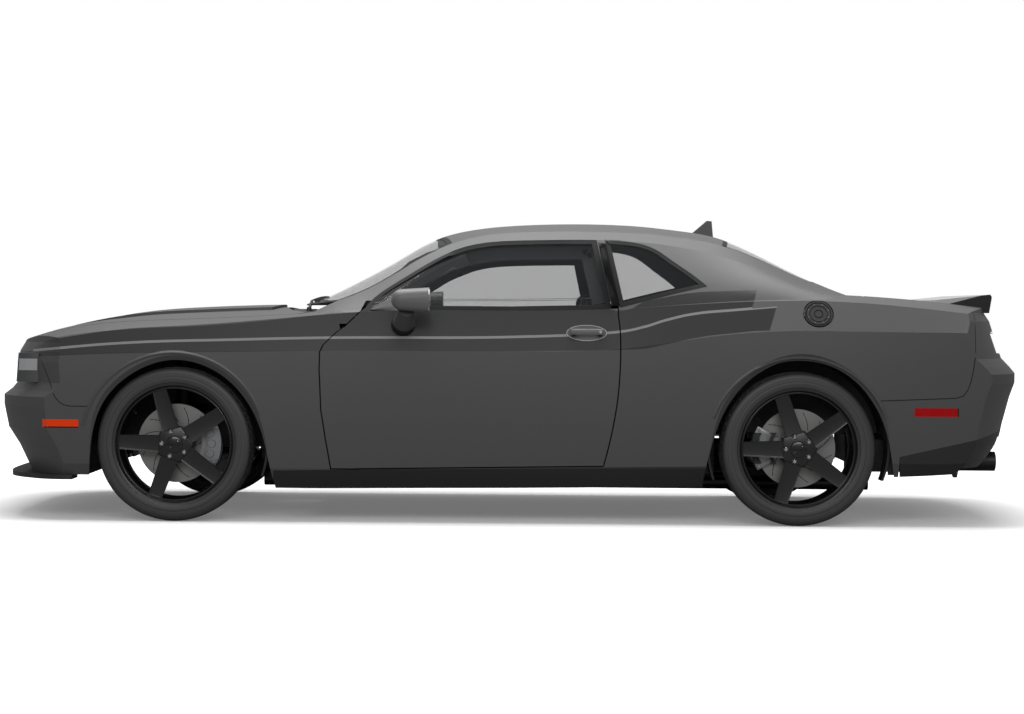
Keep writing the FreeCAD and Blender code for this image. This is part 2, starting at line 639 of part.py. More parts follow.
def moved_out(points, side, top, bottom):
    """Half-section points moved along their normals: positive values shrink the section."""
    last = len(points) - 1
    result = []
    for i, (y, z) in enumerate(points):
        before = points[i - 1] if i else (0.0, z)
        after = points[i + 1] if i < last else (-points[i - 1][0], points[i - 1][1])
        run = Vector(after[0] - before[0], after[1] - before[1], 0).normalize()
        lift = top if run.x < 0 else bottom
        result.append((y - side * run.y, z + lift * run.x))
    return result


def section_wire(row, groups, side, top, bottom):
    """A closed cross-section; each group of points takes one smooth edge, from the sill up to the centre."""
    x = float(along(row[0]))
    points = [(float(across(y)), float(height(z))) for y, z in row[1:-1]] + [(0.0, float(height(row[-1])))]
    half = moved_out(points, side, top, bottom)
    right = [Vector(x, y, z) for y, z in half]
    left = [Vector(x, -y, z) for y, z in half]
    edges = [Part.makeLine(left[0], right[0])]
    for group in groups[:-1]:
        edges.append(spline_edge([right[i] for i in group]))
    crown = groups[-1]
    edges.append(spline_edge([right[i] for i in crown] + [left[i] for i in reversed(crown[:-1])]))
    for group in reversed(groups[:-1]):
        edges.append(spline_edge([left[i] for i in reversed(group)]))
    return Part.Wire(edges)


def lower_loft(side, top, bottom):
    groups = [(0, 1), (1, 2, 3), (3, 4), (4, 5, 6, 7)]
    return Part.makeLoft([section_wire(row, groups, side, top, bottom) for row in LOWER_BODY_SHARES], True)


def cabin_loft(inset):
    """The cabin's outer surface, or one inside it; one more point rounds the roof's crown."""
    crown_share = 0.2
    groups = [(0, 1, 2), (2, 3), (3, 4, 5)]
    wires = []
    for row in CABIN_SHARES:
        edge, centre = row[-2], row[-1]
        crown = (edge[0] / 2, centre - crown_share * (centre - edge[1]))
        wires.append(section_wire(row[:-1] + (crown, centre), groups, inset, inset, -inset))
    return Part.makeLoft(wires, True)


def side_points(shares, y=0.0, shift=0.0):
    return [Vector(float(along(sx)) + shift, y, float(height(sz))) for sx, sz in shares]


def end_loft(inset):
    """A block as long as the car whose ends are the nose and the tail, swept back to the corners."""
    width_shares = (-1.1, -0.96, -0.86, -0.7, -0.4, 0, 0.4, 0.7, 0.86, 0.96, 1.1)
    sweep_power = 4
    top = float(height(1.2))
    wires = []
    for share in width_shares:
        y = float(across(share))
        bend = abs(share) ** sweep_power
        front = side_points(NOSE_SHARES, y, bend * float(cell("front_corner_sweep")) + inset)
        rear = side_points(TAIL_SHARES, y, -bend * float(cell("rear_corner_sweep")) - inset)
        front.append(Vector(front[-1].x, y, top))
        rear.append(Vector(rear[-1].x, y, top))
        wires.append(polygon(front + rear[::-1]))
    return Part.makeLoft(wires, True)


def body_volume(inset, bottom=0.0):
    return lower_loft(inset, inset, -bottom).common(end_loft(inset))


def side_prism(points, depth, grow=0.0, smooth=0):
    """A side-view outline as a prism that goes into the left flank; grow widens or shrinks it.

    The first points, as many as smooth says, are joined by one curve.
    """
    start = -float(HALF_WIDTH + OVERRUN)
    points = [Vector(point.x, start, point.z) for point in points]
    if smooth:
        wire = Part.Wire([spline_edge(points[:smooth])] + Part.makePolygon(points[smooth - 1:] + points[:1]).Edges)
    else:
        wire = polygon(points)
    if grow:
        wire = wire.makeOffset2D(grow)
    prism = Part.Face(wire).extrude(Vector(0, float(depth), 0))
    return prism.toNurbs() if smooth or grow else prism


def curve_edge(points):
    return spline_edge(points) if len(points) > 2 else Part.makeLine(points[0], points[1])


def plan_prism(runs, low, high, grow=0.0):
    """A plan-view outline of one half, mirrored to the other, as an upright prism between two heights."""

    def run_points(run, side):
        return [Vector(float(along(sx)), side * float(across(sy)), float(low)) for sx, sy in run]

    first, middle, last = runs[0], runs[1:-1], runs[-1]
    edges = [curve_edge(run_points(first[::-1], -1) + run_points(first[1:], 1))]
    edges += [curve_edge(run_points(run, 1)) for run in middle]
    edges.append(curve_edge(run_points(last, 1) + run_points(last[::-1][1:], -1)))
    edges += [curve_edge(run_points(run[::-1], -1)) for run in reversed(middle)]
    wire = Part.Wire(edges)
    if grow:
        wire = wire.makeOffset2D(grow)
    return Part.Face(wire).extrude(Vector(0, 0, float(high) - float(low))).toNurbs()


def with_mirrors(table):
    """Share boxes, each one off the centre line followed by its mirror image."""
    boxes = []
    for shares in table:
        boxes.append(shares)
        boxes.append(shares[:2] + (-shares[3], -shares[2]) + shares[4:])
    return boxes


def largest(shape):
    """A panel's one solid, without the offcuts that the cuts leave beside it."""
    return max(shape.Solids, key=lambda solid: solid.Volume)


def carved(shape, tools):
    """A shape with each tool cut from it in turn."""
    for tool in tools:
        shape = shape.cut(tool)
    return shape


def joined(shapes):
    """Several shapes as one."""
    return shapes[0].fuse(shapes[1:]) if len(shapes) > 1 else shapes[0]


# Volumes that the panels are cut from
WIDE = HALF_WIDTH + OVERRUN
TALL = height(1.1)
outer_lower = body_volume(0.0)
inner_lower = body_volume(float(SKIN), float(OVERRUN))
outer_cabin = cabin_loft(0.0)
inner_cabin = cabin_loft(float(cell("pillar_thickness")))
glass_bed = cabin_loft(float(cell("glass_recess") + cell("glass_thickness")))
glass_face = cabin_loft(float(cell("glass_recess")))
left_half = solid_box(-along(1.1), along(1.1), -WIDE, 0, ZERO, TALL)
lower_skin = outer_lower.cut(inner_lower)
left_skin = lower_skin.common(left_half)
left_wall = outer_lower.common(solid_box(-along(1.1), along(1.1), -WIDE, -DOOR_INNER, ZERO, TALL))
left_void = inner_lower.common(left_half)
cabin_skin = outer_cabin.cut(inner_cabin)


def arch_points(shares, axle):
    radius = float(TYRE)
    return [Vector(float(axle) + sx * radius, 0, radius + sz * radius) for sx, sz in shares]


def arch_lip(shares, axle):
    """A tapered cutter that bevels the edge of a wheel arch."""
    lip = float(cell("arch_lip"))
    start = -float(HALF_WIDTH) - lip
    wires = []
    for y, grow in ((start, lip * 2), (start + lip * 2, 0.0)):
        scale = 1 + grow / float(TYRE)
        points = [Vector(float(axle) + sx * float(TYRE) * scale, y, float(TYRE) * (1 + sz * scale)) for sx, sz in shares]
        wires.append(Part.Wire([spline_edge(points), Part.makeLine(points[-1], points[0])]))
    return Part.makeLoft(wires, True, True)


front_lip = arch_lip(FRONT_ARCH_SHARES, FRONT_AXLE)
rear_lip_cut = arch_lip(REAR_ARCH_SHARES, REAR_AXLE)
front_arch = side_prism(arch_points(FRONT_ARCH_SHARES, FRONT_AXLE), WIDE - cell("inner_wing_y"), smooth=len(FRONT_ARCH_SHARES))
rear_arch = side_prism(arch_points(REAR_ARCH_SHARES, REAR_AXLE), WIDE - cell("rear_housing_y"), smooth=len(REAR_ARCH_SHARES))

# Door outline: a turned front edge about the hinge, and the rear edge as a line
HINGE_X = -cell("door_hinge_x")
HINGE_Y = -cell("door_hinge_y")


def hinge_barrel(grow):
    """The volume that the door's front edge turns in."""
    points = [Vector(float(HINGE_X) - float(along(sr)) - (grow if sr or grow else 0.0), float(HINGE_Y), float(height(sz)))
              for sz, sr in DOOR_EDGE_SHARES]
    if grow:
        points = [Vector(point.x, point.y, point.z) for point in points]
    foot = Vector(float(HINGE_X), float(HINGE_Y), points[0].z - grow)
    crown = Vector(float(HINGE_X), float(HINGE_Y), points[-1].z + grow)
    start = Vector(points[0].x, points[0].y, foot.z)
    end = Vector(points[-1].x, points[-1].y, crown.z)
    outline = [foot] + ([start] if grow else []) + points + ([end] if grow else []) + [crown]
    cleaned = [point for i, point in enumerate(outline) if i == 0 or (point - outline[i - 1]).Length > 1e-6]
    return Part.Face(polygon(cleaned)).revolve(Vector(float(HINGE_X), float(HINGE_Y), 0), Z_AXIS, 360)


door_rear = side_points(DOOR_REAR_SHARES)
door_front = side_points(DOOR_CORNER_SHARES)
door_foot = Vector(float(HINGE_X), 0, float(height(DOOR_FOOT_SHARE)))
door_top = float(height(DOOR_TOP_SHARE))
door_outline = door_rear + [door_foot, Vector(float(HINGE_X), 0, door_front[0].z)] + door_front + [
    Vector(door_front[-1].x, 0, door_top), Vector(door_rear[0].x, 0, door_top)]
door_curve = len(DOOR_REAR_SHARES)
door_depth = WIDE - DOOR_INNER
door_opening = joined([side_prism(door_outline, float(door_depth + GAP), float(GAP), door_curve), hinge_barrel(float(GAP))])
door_body = left_wall.common(joined([side_prism(door_outline, float(door_depth), smooth=door_curve), hinge_barrel(0.0)]))
door_upper_opening = side_prism(door_outline, float(WIDE - across(0.6)), float(GAP), door_curve)

# Window outlines
window_points = side_points(WINDOW_SHARES) + side_points(WINDOW_REAR_FOOT_SHARES)
pillar_line = side_points(PILLAR_LINE_SHARES)
pillar_width = float(along(PILLAR_WIDTH_SHARE))
window_depth = WIDE - across(0.5)
ahead_of_pillar = side_prism([pillar_line[0], pillar_line[1], Vector(-float(along(1)), 0, pillar_line[1].z),
                              Vector(-float(along(1)), 0, pillar_line[0].z)], float(window_depth))
behind_pillar = side_prism([pillar_line[0] + Vector(pillar_width, 0, 0), pillar_line[1] + Vector(pillar_width, 0, 0),
                            Vector(float(along(1)), 0, pillar_line[1].z), Vector(float(along(1)), 0, pillar_line[0].z)],
                           float(window_depth))
window_curve = len(WINDOW_SHARES)
window_all = side_prism(window_points, float(window_depth), smooth=window_curve)
window_small = side_prism(window_points, float(window_depth), -float(cell("rebate_width")), smooth=window_curve)
door_window = window_all.common(ahead_of_pillar)
quarter_window = window_all.common(behind_pillar)
quarter_hole = window_small.common(behind_pillar.translated(Vector(float(cell("rebate_width")), 0, 0)))
glass_sheet = glass_face.cut(glass_bed)
glass_band = outer_cabin.cut(glass_bed)
cabin_low = height(0.6)
windshield_hole = plan_prism(WINDSHIELD_SHARES, cabin_low, TALL, -float(cell("rebate_width")))
rear_glass_hole = plan_prism(REAR_GLASS_SHARES, cabin_low, TALL, -float(cell("rebate_width")))
windshield_area = plan_prism(WINDSHIELD_SHARES, cabin_low, TALL)
rear_glass_area = plan_prism(REAR_GLASS_SHARES, cabin_low, TALL)
roof_area = plan_prism(ROOF_PANEL_SHARES, cabin_low, TALL)

# Lids cut from the top skin
hood_low = height(0.52)
hood_area = plan_prism(HOOD_SHARES, hood_low, TALL)
hood_opening = plan_prism(HOOD_SHARES, hood_low, TALL, float(GAP))
decklid_low = height(TAIL_LAMP_SHARES[1] + 0.006)
decklid_area = plan_prism(DECKLID_SHARES, decklid_low, TALL)
decklid_opening = plan_prism(DECKLID_SHARES, decklid_low - GAP, TALL, float(GAP))
cowl_opening = plan_prism(COWL_SHARES, cabin_low, TALL)
cowl_area = cowl_opening.cut(plan_prism(HOOD_SHARES, hood_low, TALL, float(cell("lid_hinge_gap"))))
# Each lid's edge beside its hinge stands back, because it swings towards the panel behind it
hinge_setback = Vector(float(cell("lid_setback")), 0, 0)
hood_panel = hood_area.common(hood_area.translated(-hinge_setback))
decklid_panel = decklid_area.common(decklid_area.translated(hinge_setback))

# Regions of the left flank
front_seam = side_points(FRONT_SEAM_SHARES)
rear_seam = side_points(REAR_SEAM_SHARES)


def ahead_of(points, grow=0.0):
    low = Vector(-float(along(1.2)), 0, 0)
    high = Vector(-float(along(1.2)), 0, float(TALL))
    return side_prism([low, high, Vector(points[0].x, 0, float(TALL))] + points + [Vector(points[-1].x, 0, 0)],
                      float(WIDE) * 2, grow)


def behind(points, grow=0.0):
    low = Vector(float(along(1.2)), 0, 0)
    high = Vector(float(along(1.2)), 0, float(TALL))
    return side_prism([low, high, Vector(points[0].x, 0, float(TALL))] + points + [Vector(points[-1].x, 0, 0)],
                      float(WIDE) * 2, grow)


front_end = ahead_of(front_seam)
rear_end = behind(rear_seam)
sill_line = side_points(SILL_TOP_SHARES)
sill_area = side_prism([Vector(sill_line[0].x, 0, 0)] + sill_line + [Vector(sill_line[1].x, 0, 0)], float(WIDE))
fender_rear = float(along(FENDER_REAR_SHARE))
fender_area = side_prism([Vector(-float(along(1.2)), 0, 0), Vector(-float(along(1.2)), 0, float(TALL)),
                          Vector(fender_rear, 0, float(TALL)), Vector(fender_rear, 0, 0)], float(WIDE))

# Front fender
fender = carved(left_skin.common(fender_area), [front_end, front_lip, front_arch, door_opening, sill_area, outer_cabin,
                                               hood_opening, cowl_opening])
fender = fender.cut(Part.makeCylinder(float(cell("door_corner_radius")), float(cell("door_corner_height")),
                                      Vector(float(HINGE_X), float(HINGE_Y), door_front[0].z - float(GAP)), Z_AXIS))
add_pair("fender", largest(fender))

# Hood
def strap(points, low_y, high_y):
    """A flat arm that follows a line in the side view, between two widths."""
    line = Part.makePolygon([Vector(point.x, low_y, point.z) for point in points])
    face = Part.Face(line.makeOffset2D(float(cell("lid_arm_thickness")) / 2))
    return face.extrude(Vector(0, high_y - low_y, 0))


def lid_hinge(pivot_x, pivot_z, length, shares, share_y, bracket_top):
    """A curved arm for a lid, and the bracket with a pin that holds it; both on the left side."""
    x, z, reach, y = float(pivot_x), float(pivot_z), float(length), -float(across(share_y))
    thick = float(cell("lid_arm_thickness"))
    gap = float(cell("joint_gap"))
    half = float(cell("lid_bracket_size")) / 2
    arm = strap([Vector(x + sx * reach, 0, z + sz * reach) for sx, sz in shares], y, y + thick)
    arm = arm.fuse(Part.makeCylinder(half, thick, Vector(x, y, z), Y_AXIS))
    arm = arm.cut(Part.makeCylinder(float(cell("hinge_pin_radius") + CLEARANCE), thick, Vector(x, y, z), Y_AXIS))
    pin = Part.makeCylinder(float(cell("hinge_pin_radius")), thick * 2 + gap * 2, Vector(x, y - gap - thick, z), Y_AXIS)
    low, high = sorted((float(bracket_top), z))
    bracket = Part.makeBox(half * 2, thick, high - low, Vector(x - half, y - gap - thick, low))
    boss = Part.makeCylinder(half, thick, Vector(x, y - gap - thick, z), Y_AXIS)
    return arm, pin.fuse([bracket, boss])


hood_arm, hood_bracket = lid_hinge(-cell("hood_hinge_x"), cell("hood_hinge_z"), cell("hood_arm_length"), HOOD_ARM_SHARES,
                                   HOOD_ARM_Y_SHARE, height(FLOOR_SHARES[PLENUM_ROW][5]))
decklid_arm, decklid_bracket = lid_hinge(cell("decklid_hinge_x"), cell("decklid_hinge_z"), cell("decklid_arm_length"),
                                         DECKLID_ARM_SHARES, DECKLID_ARM_Y_SHARE, cell("decklid_hinge_z") + cell("decklid_bracket_rise"))
dome_height = float(cell("dome_height"))
dome_area = plan_prism(HOOD_DOME_SHARES, hood_low, TALL)
dome = lower_loft(0.0, -dome_height, 0.0).cut(inner_lower).common(dome_area)
nostril = [Vector(float(along(sx)), float(across(sy)), float(hood_low)) for sx, sy in NOSTRIL_SHARES]
nostril = Part.Face(polygon(nostril)).extrude(Vector(0, 0, float(TALL)))
nostril = nostril.cut(lower_loft(0.0, float(cell("nostril_depth")) - dome_height, 0.0))
hood = carved(joined([lower_skin.common(hood_area), dome]).common(hood_panel), [nostril, nostril.mirror(ORIGIN, Y_AXIS)])
hood_arm = hood_arm.common(inner_lower)
hood = joined([hood, hood_arm, hood_arm.mirror(ORIGIN, Y_AXIS)])
add_shape("hood", hood)

# Front bumper and splitter
slot = share_solid(GRILLE_SLOT_BOX_SHARES)
intake = share_solid(INTAKE_BOX_SHARES)
front_low = solid_box(-along(1.1), along(0), -WIDE, WIDE, ZERO, height(SPLITTER_TOP_SHARE))
front_arch_both = joined([front_arch, front_arch.mirror(ORIGIN, Y_AXIS)])
front_bumper = carved(lower_skin.common(front_end), [hood_opening, front_arch_both, slot, intake, front_low])
def flank_marker(shares):
    low_x, high_x, low_z, high_z = shares
    area = solid_box(along(low_x), along(high_x), -WIDE, -across(0.8), height(low_z), height(high_z))
    return outer_lower.cut(lower_loft(float(cell("marker_depth")), 0.0, 0.0)).common(area)


markers = []
for end, shares in zip(("front", "rear"), MARKER_SHARES):
    marker = flank_marker(shares)
    pair = [marker, marker.mirror(ORIGIN, Y_AXIS)]
    add_shape(f"{end}_markers", Part.makeCompound(pair))
    markers += pair
front_lips = [front_lip, front_lip.mirror(ORIGIN, Y_AXIS)]
rear_lips = [rear_lip_cut, rear_lip_cut.mirror(ORIGIN, Y_AXIS)]
add_shape("front_bumper", largest(carved(front_bumper, markers + front_lips)))
splitter = plan_prism(SPLITTER_SHARES, height(SPLITTER_TOP_SHARE) - cell("splitter_thickness"), height(SPLITTER_TOP_SHARE))
add_shape("front_splitter", splitter.cut(front_arch_both))

# Rear bumper, valance and lamps
lamp_slot = share_solid(TAIL_LAMP_BOX_SHARES)
valance_line = side_points(VALANCE_TOP_SHARES)
valance_foot = side_points(VALANCE_FOOT_SHARES)
valance_area = side_prism(valance_line + valance_foot, float(WIDE) * 2)
rear_arch_both = joined([rear_arch, rear_arch.mirror(ORIGIN, Y_AXIS)])
rear_skin = carved(lower_skin.common(rear_end), [decklid_opening, rear_arch_both, lamp_slot])
low_area = side_prism(valance_line + [Vector(float(along(1.2)), 0, 0), Vector(valance_line[0].x, 0, 0)], float(WIDE) * 2)
tips = Part.makeCylinder(float(cell("tailpipe_radius") + GAP), float(along(0.3)),
                         Vector(float(along(0.85)), -float(cell("tailpipe_y")), float(cell("tailpipe_height"))), X_AXIS)
plate_pad = share_solid(PLATE_PAD_SHARES)
plate_y, plate_z = float(across(PLATE_HOLE_SHARES[0])), float(height(PLATE_HOLE_SHARES[1]))
plate_middle = float(height((PLATE_PAD_SHARES[4] + PLATE_PAD_SHARES[5]) / 2))
plate_holes = [Part.makeCylinder(float(cell("plate_hole_radius")), float(along(0.1)),
                                 Vector(float(along(0.95)), y, plate_middle + z), X_AXIS)
               for y in (-plate_y, plate_y) for z in (-plate_z, plate_z)]
rear_bumper = joined([rear_skin.cut(low_area).cut(share_solid(PLATE_RECESS_SHARES)), plate_pad.common(outer_lower)])
add_shape("rear_bumper", largest(carved(rear_bumper, plate_holes + markers + rear_lips)))
add_shape("rear_valance", largest(carved(rear_skin.common(valance_area), [tips, tips.mirror(ORIGIN, Y_AXIS)] + rear_lips)))
lamp_inset = cell("lamp_inset")
lamp_back = lamp_inset + cell("lamp_thickness")
lamp_sheet = end_loft(float(lamp_inset)).cut(end_loft(float(lamp_back)))
add_shape("rear_lamps", lamp_sheet.common(lamp_slot).common(outer_lower))

# Grille and headlamps
grille_sheet = end_loft(float(cell("grille_inset"))).cut(end_loft(float(cell("grille_inset") + cell("lamp_thickness"))))
grille_zone = joined([share_solid(GRILLE_ZONE_SHARES), share_solid(INTAKE_ZONE_SHARES)])
grille = grille_sheet.common(grille_zone).common(inner_lower)
lamp_shapes = []
for share_y in HEADLAMP_Y_SHARES:
    y = across(share_y)
    face = -along(1) + cell("front_corner_sweep") * share_y ** 4 + cell("grille_inset") + OVERRUN * HEADLAMP_SETBACK_SHARE
    for side in (-1, 1):
        lamp_shapes.append(Part.makeCylinder(float(cell("headlamp_radius")), float(cell("headlamp_depth")),
                                             Vector(float(face), side * float(y), float(height(HEADLAMP_Z_SHARE))), X_AXIS))
lamps = Part.makeCompound(lamp_shapes)
add_shape("grille", grille.cut(lamps))
add_shape("front_lamps", lamps)

# Tulip panel, cowl, roof and glass
tulip_area = plan_prism(TULIP_SHARES, cabin_low, TALL)
tulip = carved(lower_skin.common(tulip_area), [decklid_opening, outer_cabin])
tulip = largest(joined([tulip, carved(cabin_skin.common(tulip_area), [rear_glass_area, decklid_opening])]))
decklid_bracket = decklid_bracket.common(outer_lower)
add_shape("tulip_panel", joined([tulip, decklid_bracket, decklid_bracket.mirror(ORIGIN, Y_AXIS)]))
cowl = lower_loft(float(cell("cowl_drop")), float(cell("cowl_drop")), 0.0).cut(inner_lower).common(cowl_area)
add_shape("cowl", cowl)
fin = Part.Face(polygon(side_points(FIN_SHARES, -float(across(FIN_WIDTH_SHARE))))).extrude(Vector(0, float(across(FIN_WIDTH_SHARE)) * 2, 0))
add_shape("roof_panel", joined([cabin_skin.common(roof_area), fin.cut(inner_cabin)]))
glass_gap = float(cell("seam_width")) / 2
front_glass = glass_sheet.common(plan_prism(WINDSHIELD_SHARES, cabin_low, TALL, -glass_gap)).cut(outer_lower)
rear_glass = glass_sheet.common(plan_prism(REAR_GLASS_SHARES, cabin_low, TALL, -glass_gap)).cut(outer_lower)
quarter_glass = glass_sheet.common(quarter_window)
add_shape("fixed_glass", Part.makeCompound([front_glass, rear_glass, quarter_glass, quarter_glass.mirror(ORIGIN, Y_AXIS)]))
door_glass = glass_sheet.common(side_prism(window_points, float(window_depth), -float(GAP) / 2, smooth=window_curve))
door_glass = door_glass.common(ahead_of_pillar.translated(Vector(-float(GAP), 0, 0))).cut(outer_lower)
add_pair("door_glass", door_glass)

# Fuel door: a round lid, flush with the band between the crease and the shoulder
lid_tilt = math.radians(float(cell("fuel_lid_angle")))
lid_normal = Vector(0, -math.cos(lid_tilt), math.sin(lid_tilt))
lid_centre = Vector(float(along(FUEL_LID_SHARES[0])), float(across(FUEL_LID_SHARES[1])), float(height(FUEL_LID_SHARES[2])))
lid_thickness = float(cell("fuel_lid_thickness"))


def fuel_disc(radius, below, above):
    return Part.makeCylinder(float(radius), below + above, lid_centre - lid_normal * below, lid_normal)


lid_proud = float(cell("pad_gap"))
fuel_pocket = fuel_disc(cell("fuel_lid_radius") + GAP, lid_thickness + lid_proud * 2, float(OVERRUN))

# Its hinge: a barrel at the lid's front edge, on a pin between two lugs of the body
lid_rim = lid_centre - X_AXIS * float(cell("fuel_lid_radius")) + lid_normal * lid_proud
lid_up = X_AXIS.cross(lid_normal)


def on_fuel_axis(radius, start, end):
    return Part.makeCylinder(float(radius), float(end - start), lid_rim + lid_up * float(start), lid_up)


half_barrel = cell("fuel_barrel_length") / 2
fuel_gap = cell("fuel_hinge_gap")
lug_start = half_barrel + fuel_gap
lug_end = lug_start + cell("fuel_lug_width")
lug_reach = float(GAP + cell("fuel_barrel_radius"))
fuel_pin = on_fuel_axis(cell("fuel_pin_radius"), -lug_end, lug_end)
fuel_lid = fuel_disc(cell("fuel_lid_radius"), lid_thickness, lid_proud).fuse(
    on_fuel_axis(cell("fuel_barrel_radius"), -half_barrel, half_barrel))
fuel_lugs = [fuel_pin]
for start, end in ((-lug_end, -lug_start), (lug_start, lug_end)):
    lug = on_fuel_axis(cell("fuel_barrel_radius"), start, end)
    arm = Part.makeBox(lug_reach - float(fuel_gap) * 2, float(end - start), lid_thickness)
    arm.Placement = FreeCAD.Placement(lid_rim + lid_up * float(start) - X_AXIS * lug_reach - lid_normal * lid_thickness,
                                      FreeCAD.Rotation(X_AXIS, lid_up, lid_normal, "XYZ"))
    fuel_lugs += [lug, arm]
    fuel_lid = fuel_lid.cut(on_fuel_axis(cell("fuel_barrel_radius") + fuel_gap, start - fuel_gap, end + fuel_gap))
add_shape("fuel_door", fuel_lid.cut(on_fuel_axis(cell("fuel_pin_radius") + CLEARANCE, -half_barrel, half_barrel)))

# Body side: pillars, roof rail, quarter panel and the walls beside the cabin
rebates = glass_band.common(joined([windshield_area, rear_glass_area, quarter_window]))
upper = carved(cabin_skin.common(left_half), [roof_area, windshield_hole, rear_glass_hole, door_window, quarter_hole,
                                             door_upper_opening, rebates, hood_opening, cowl_opening, tulip_area, decklid_opening])
quarter = carved(left_skin, [fender_area, tulip_area, rear_end, decklid_opening, inner_cabin])
inner_side = left_wall.common(share_solid(SIDE_WALL_SHARES))
post = left_void.common(share_solid(DOOR_POST_SHARES))
side = carved(joined([quarter, inner_side, post]), [rear_lip_cut, rear_arch, door_opening, sill_area, outer_cabin])
side = largest(joined([side, upper]))
add_shape("body_side_right", side.mirror(ORIGIN, Y_AXIS))
add_shape("body_side_left", joined([side.cut(fuel_pocket)] + fuel_lugs))
sill = carved(left_wall.common(sill_area), [front_arch, rear_arch, front_lip, rear_lip_cut])
add_shape("sill_covers", Part.makeCompound([sill, sill.mirror(ORIGIN, Y_AXIS)]))

# Doors: each hinge has a pocket for the body's arm, and a bore above and below it for the pin
PIN_HALF = cell("hinge_leaf_height")
door_cuts = []
hinge_arms = []
for share in DOOR_HINGE_SHARES:
    middle = height(share)
    half_arm = cell("hinge_leaf_height") / 2
    door_cuts.append(solid_box(HINGE_X - cell("door_hinge_swing"), HINGE_X + OVERRUN * 0.7, HINGE_Y - cell("hinge_pocket_reach"), ZERO,
                               middle - half_arm - GAP, middle + half_arm + GAP))
    door_cuts.append(Part.makeCylinder(float(cell("hinge_pin_radius") + CLEARANCE), float(PIN_HALF + GAP) * 2,
                                       Vector(float(HINGE_X), float(HINGE_Y), float(middle - PIN_HALF - GAP))))
    hinge_arms.append(Part.makeCylinder(float(cell("hinge_pin_radius")), float(PIN_HALF) * 2,
                                        Vector(float(HINGE_X), float(HINGE_Y), float(middle - PIN_HALF))))
    hinge_arms.append(solid_box(HINGE_X - cell("hinge_arm_width") / 2, HINGE_X + cell("hinge_arm_width") / 2, HINGE_Y,
                                -across(DOOR_POST_INNER_SHARE), middle - half_arm, middle + half_arm))
handle_x, handle_z = along(HANDLE_SHARES[0]), height(HANDLE_SHARES[1])
handle_reach = HALF_WIDTH + cell("pad_gap")
half_handle = cell("handle_length") / 2
handle_low, handle_high = handle_z - cell("handle_height") / 2, handle_z + cell("handle_height") / 2
handle_inner = -handle_reach + cell("handle_thickness")
grip = solid_box(handle_x - half_handle, handle_x + half_handle, -handle_reach, handle_inner, handle_low, handle_high)
ends = [solid_box(start, start + cell("handle_height"), handle_inner, handle_inner + OVERRUN, handle_low, handle_high)
        for start in (handle_x - half_handle, handle_x + half_handle - cell("handle_height"))]
dish_y = -float(HALF_WIDTH + cell("handle_dish_radius") - cell("handle_dish_depth") - cell("handle_reach"))
dish = Part.makeSphere(float(cell("handle_dish_radius")), Vector(float(handle_x), dish_y, float(handle_z)))
door = carved(door_body, door_cuts + [dish])
add_pair("door", joined([door, grip] + ends))
hinge_arms = joined(hinge_arms)

# Decklid
decklid_arm = decklid_arm.common(inner_lower)
decklid = joined([lower_skin.common(decklid_panel), decklid_arm, decklid_arm.mirror(ORIGIN, Y_AXIS)])
add_shape("decklid", decklid)

# Wheels: a tyre, and a rim with its hub and brake disc
WHEEL_INNER_Y = WHEEL_Y - cell("tyre_width") / 2
RIM_START = (cell("tyre_width") - cell("rim_width")) / 2
RIM_END = RIM_START + cell("rim_width")
BEAD_START = RIM_START + cell("rim_flange_width")
BEAD_END = RIM_END - cell("rim_flange_width")
DISC_END = cell("disc_offset") + cell("disc_thickness")
SPOKE_END = RIM_END - cell("spoke_inset")
SPOKE_START = SPOKE_END - cell("spoke_depth")
SPINDLE_BORE = cell("spindle_radius") + CLEARANCE
SPINDLE_END = cell("disc_offset") + cell("spindle_length")


def make_tyre(label, axle):
    body = doc.addObject("PartDesign::Body", label)
    wall = cell("tyre_radius") - cell("rim_flange_radius")
    inner = [(BEAD_START, cell("rim_seat_radius")), (BEAD_START, cell("rim_flange_radius"))]
    outer = [(BEAD_END, cell("rim_flange_radius")), (BEAD_END, cell("rim_seat_radius"))]
    profile = [(cell("tyre_width") * sa, cell("rim_flange_radius") + wall * sr) for sa, sr in TYRE_PROFILE_SHARES]
    far = [(cell("tyre_width") - place, radius) for place, radius in reversed(profile)]
    revolve(body, label + "_ring", inner + profile + far + outer)
    place_wheel_part(body, axle, 0)
    return finish_node(label, body)


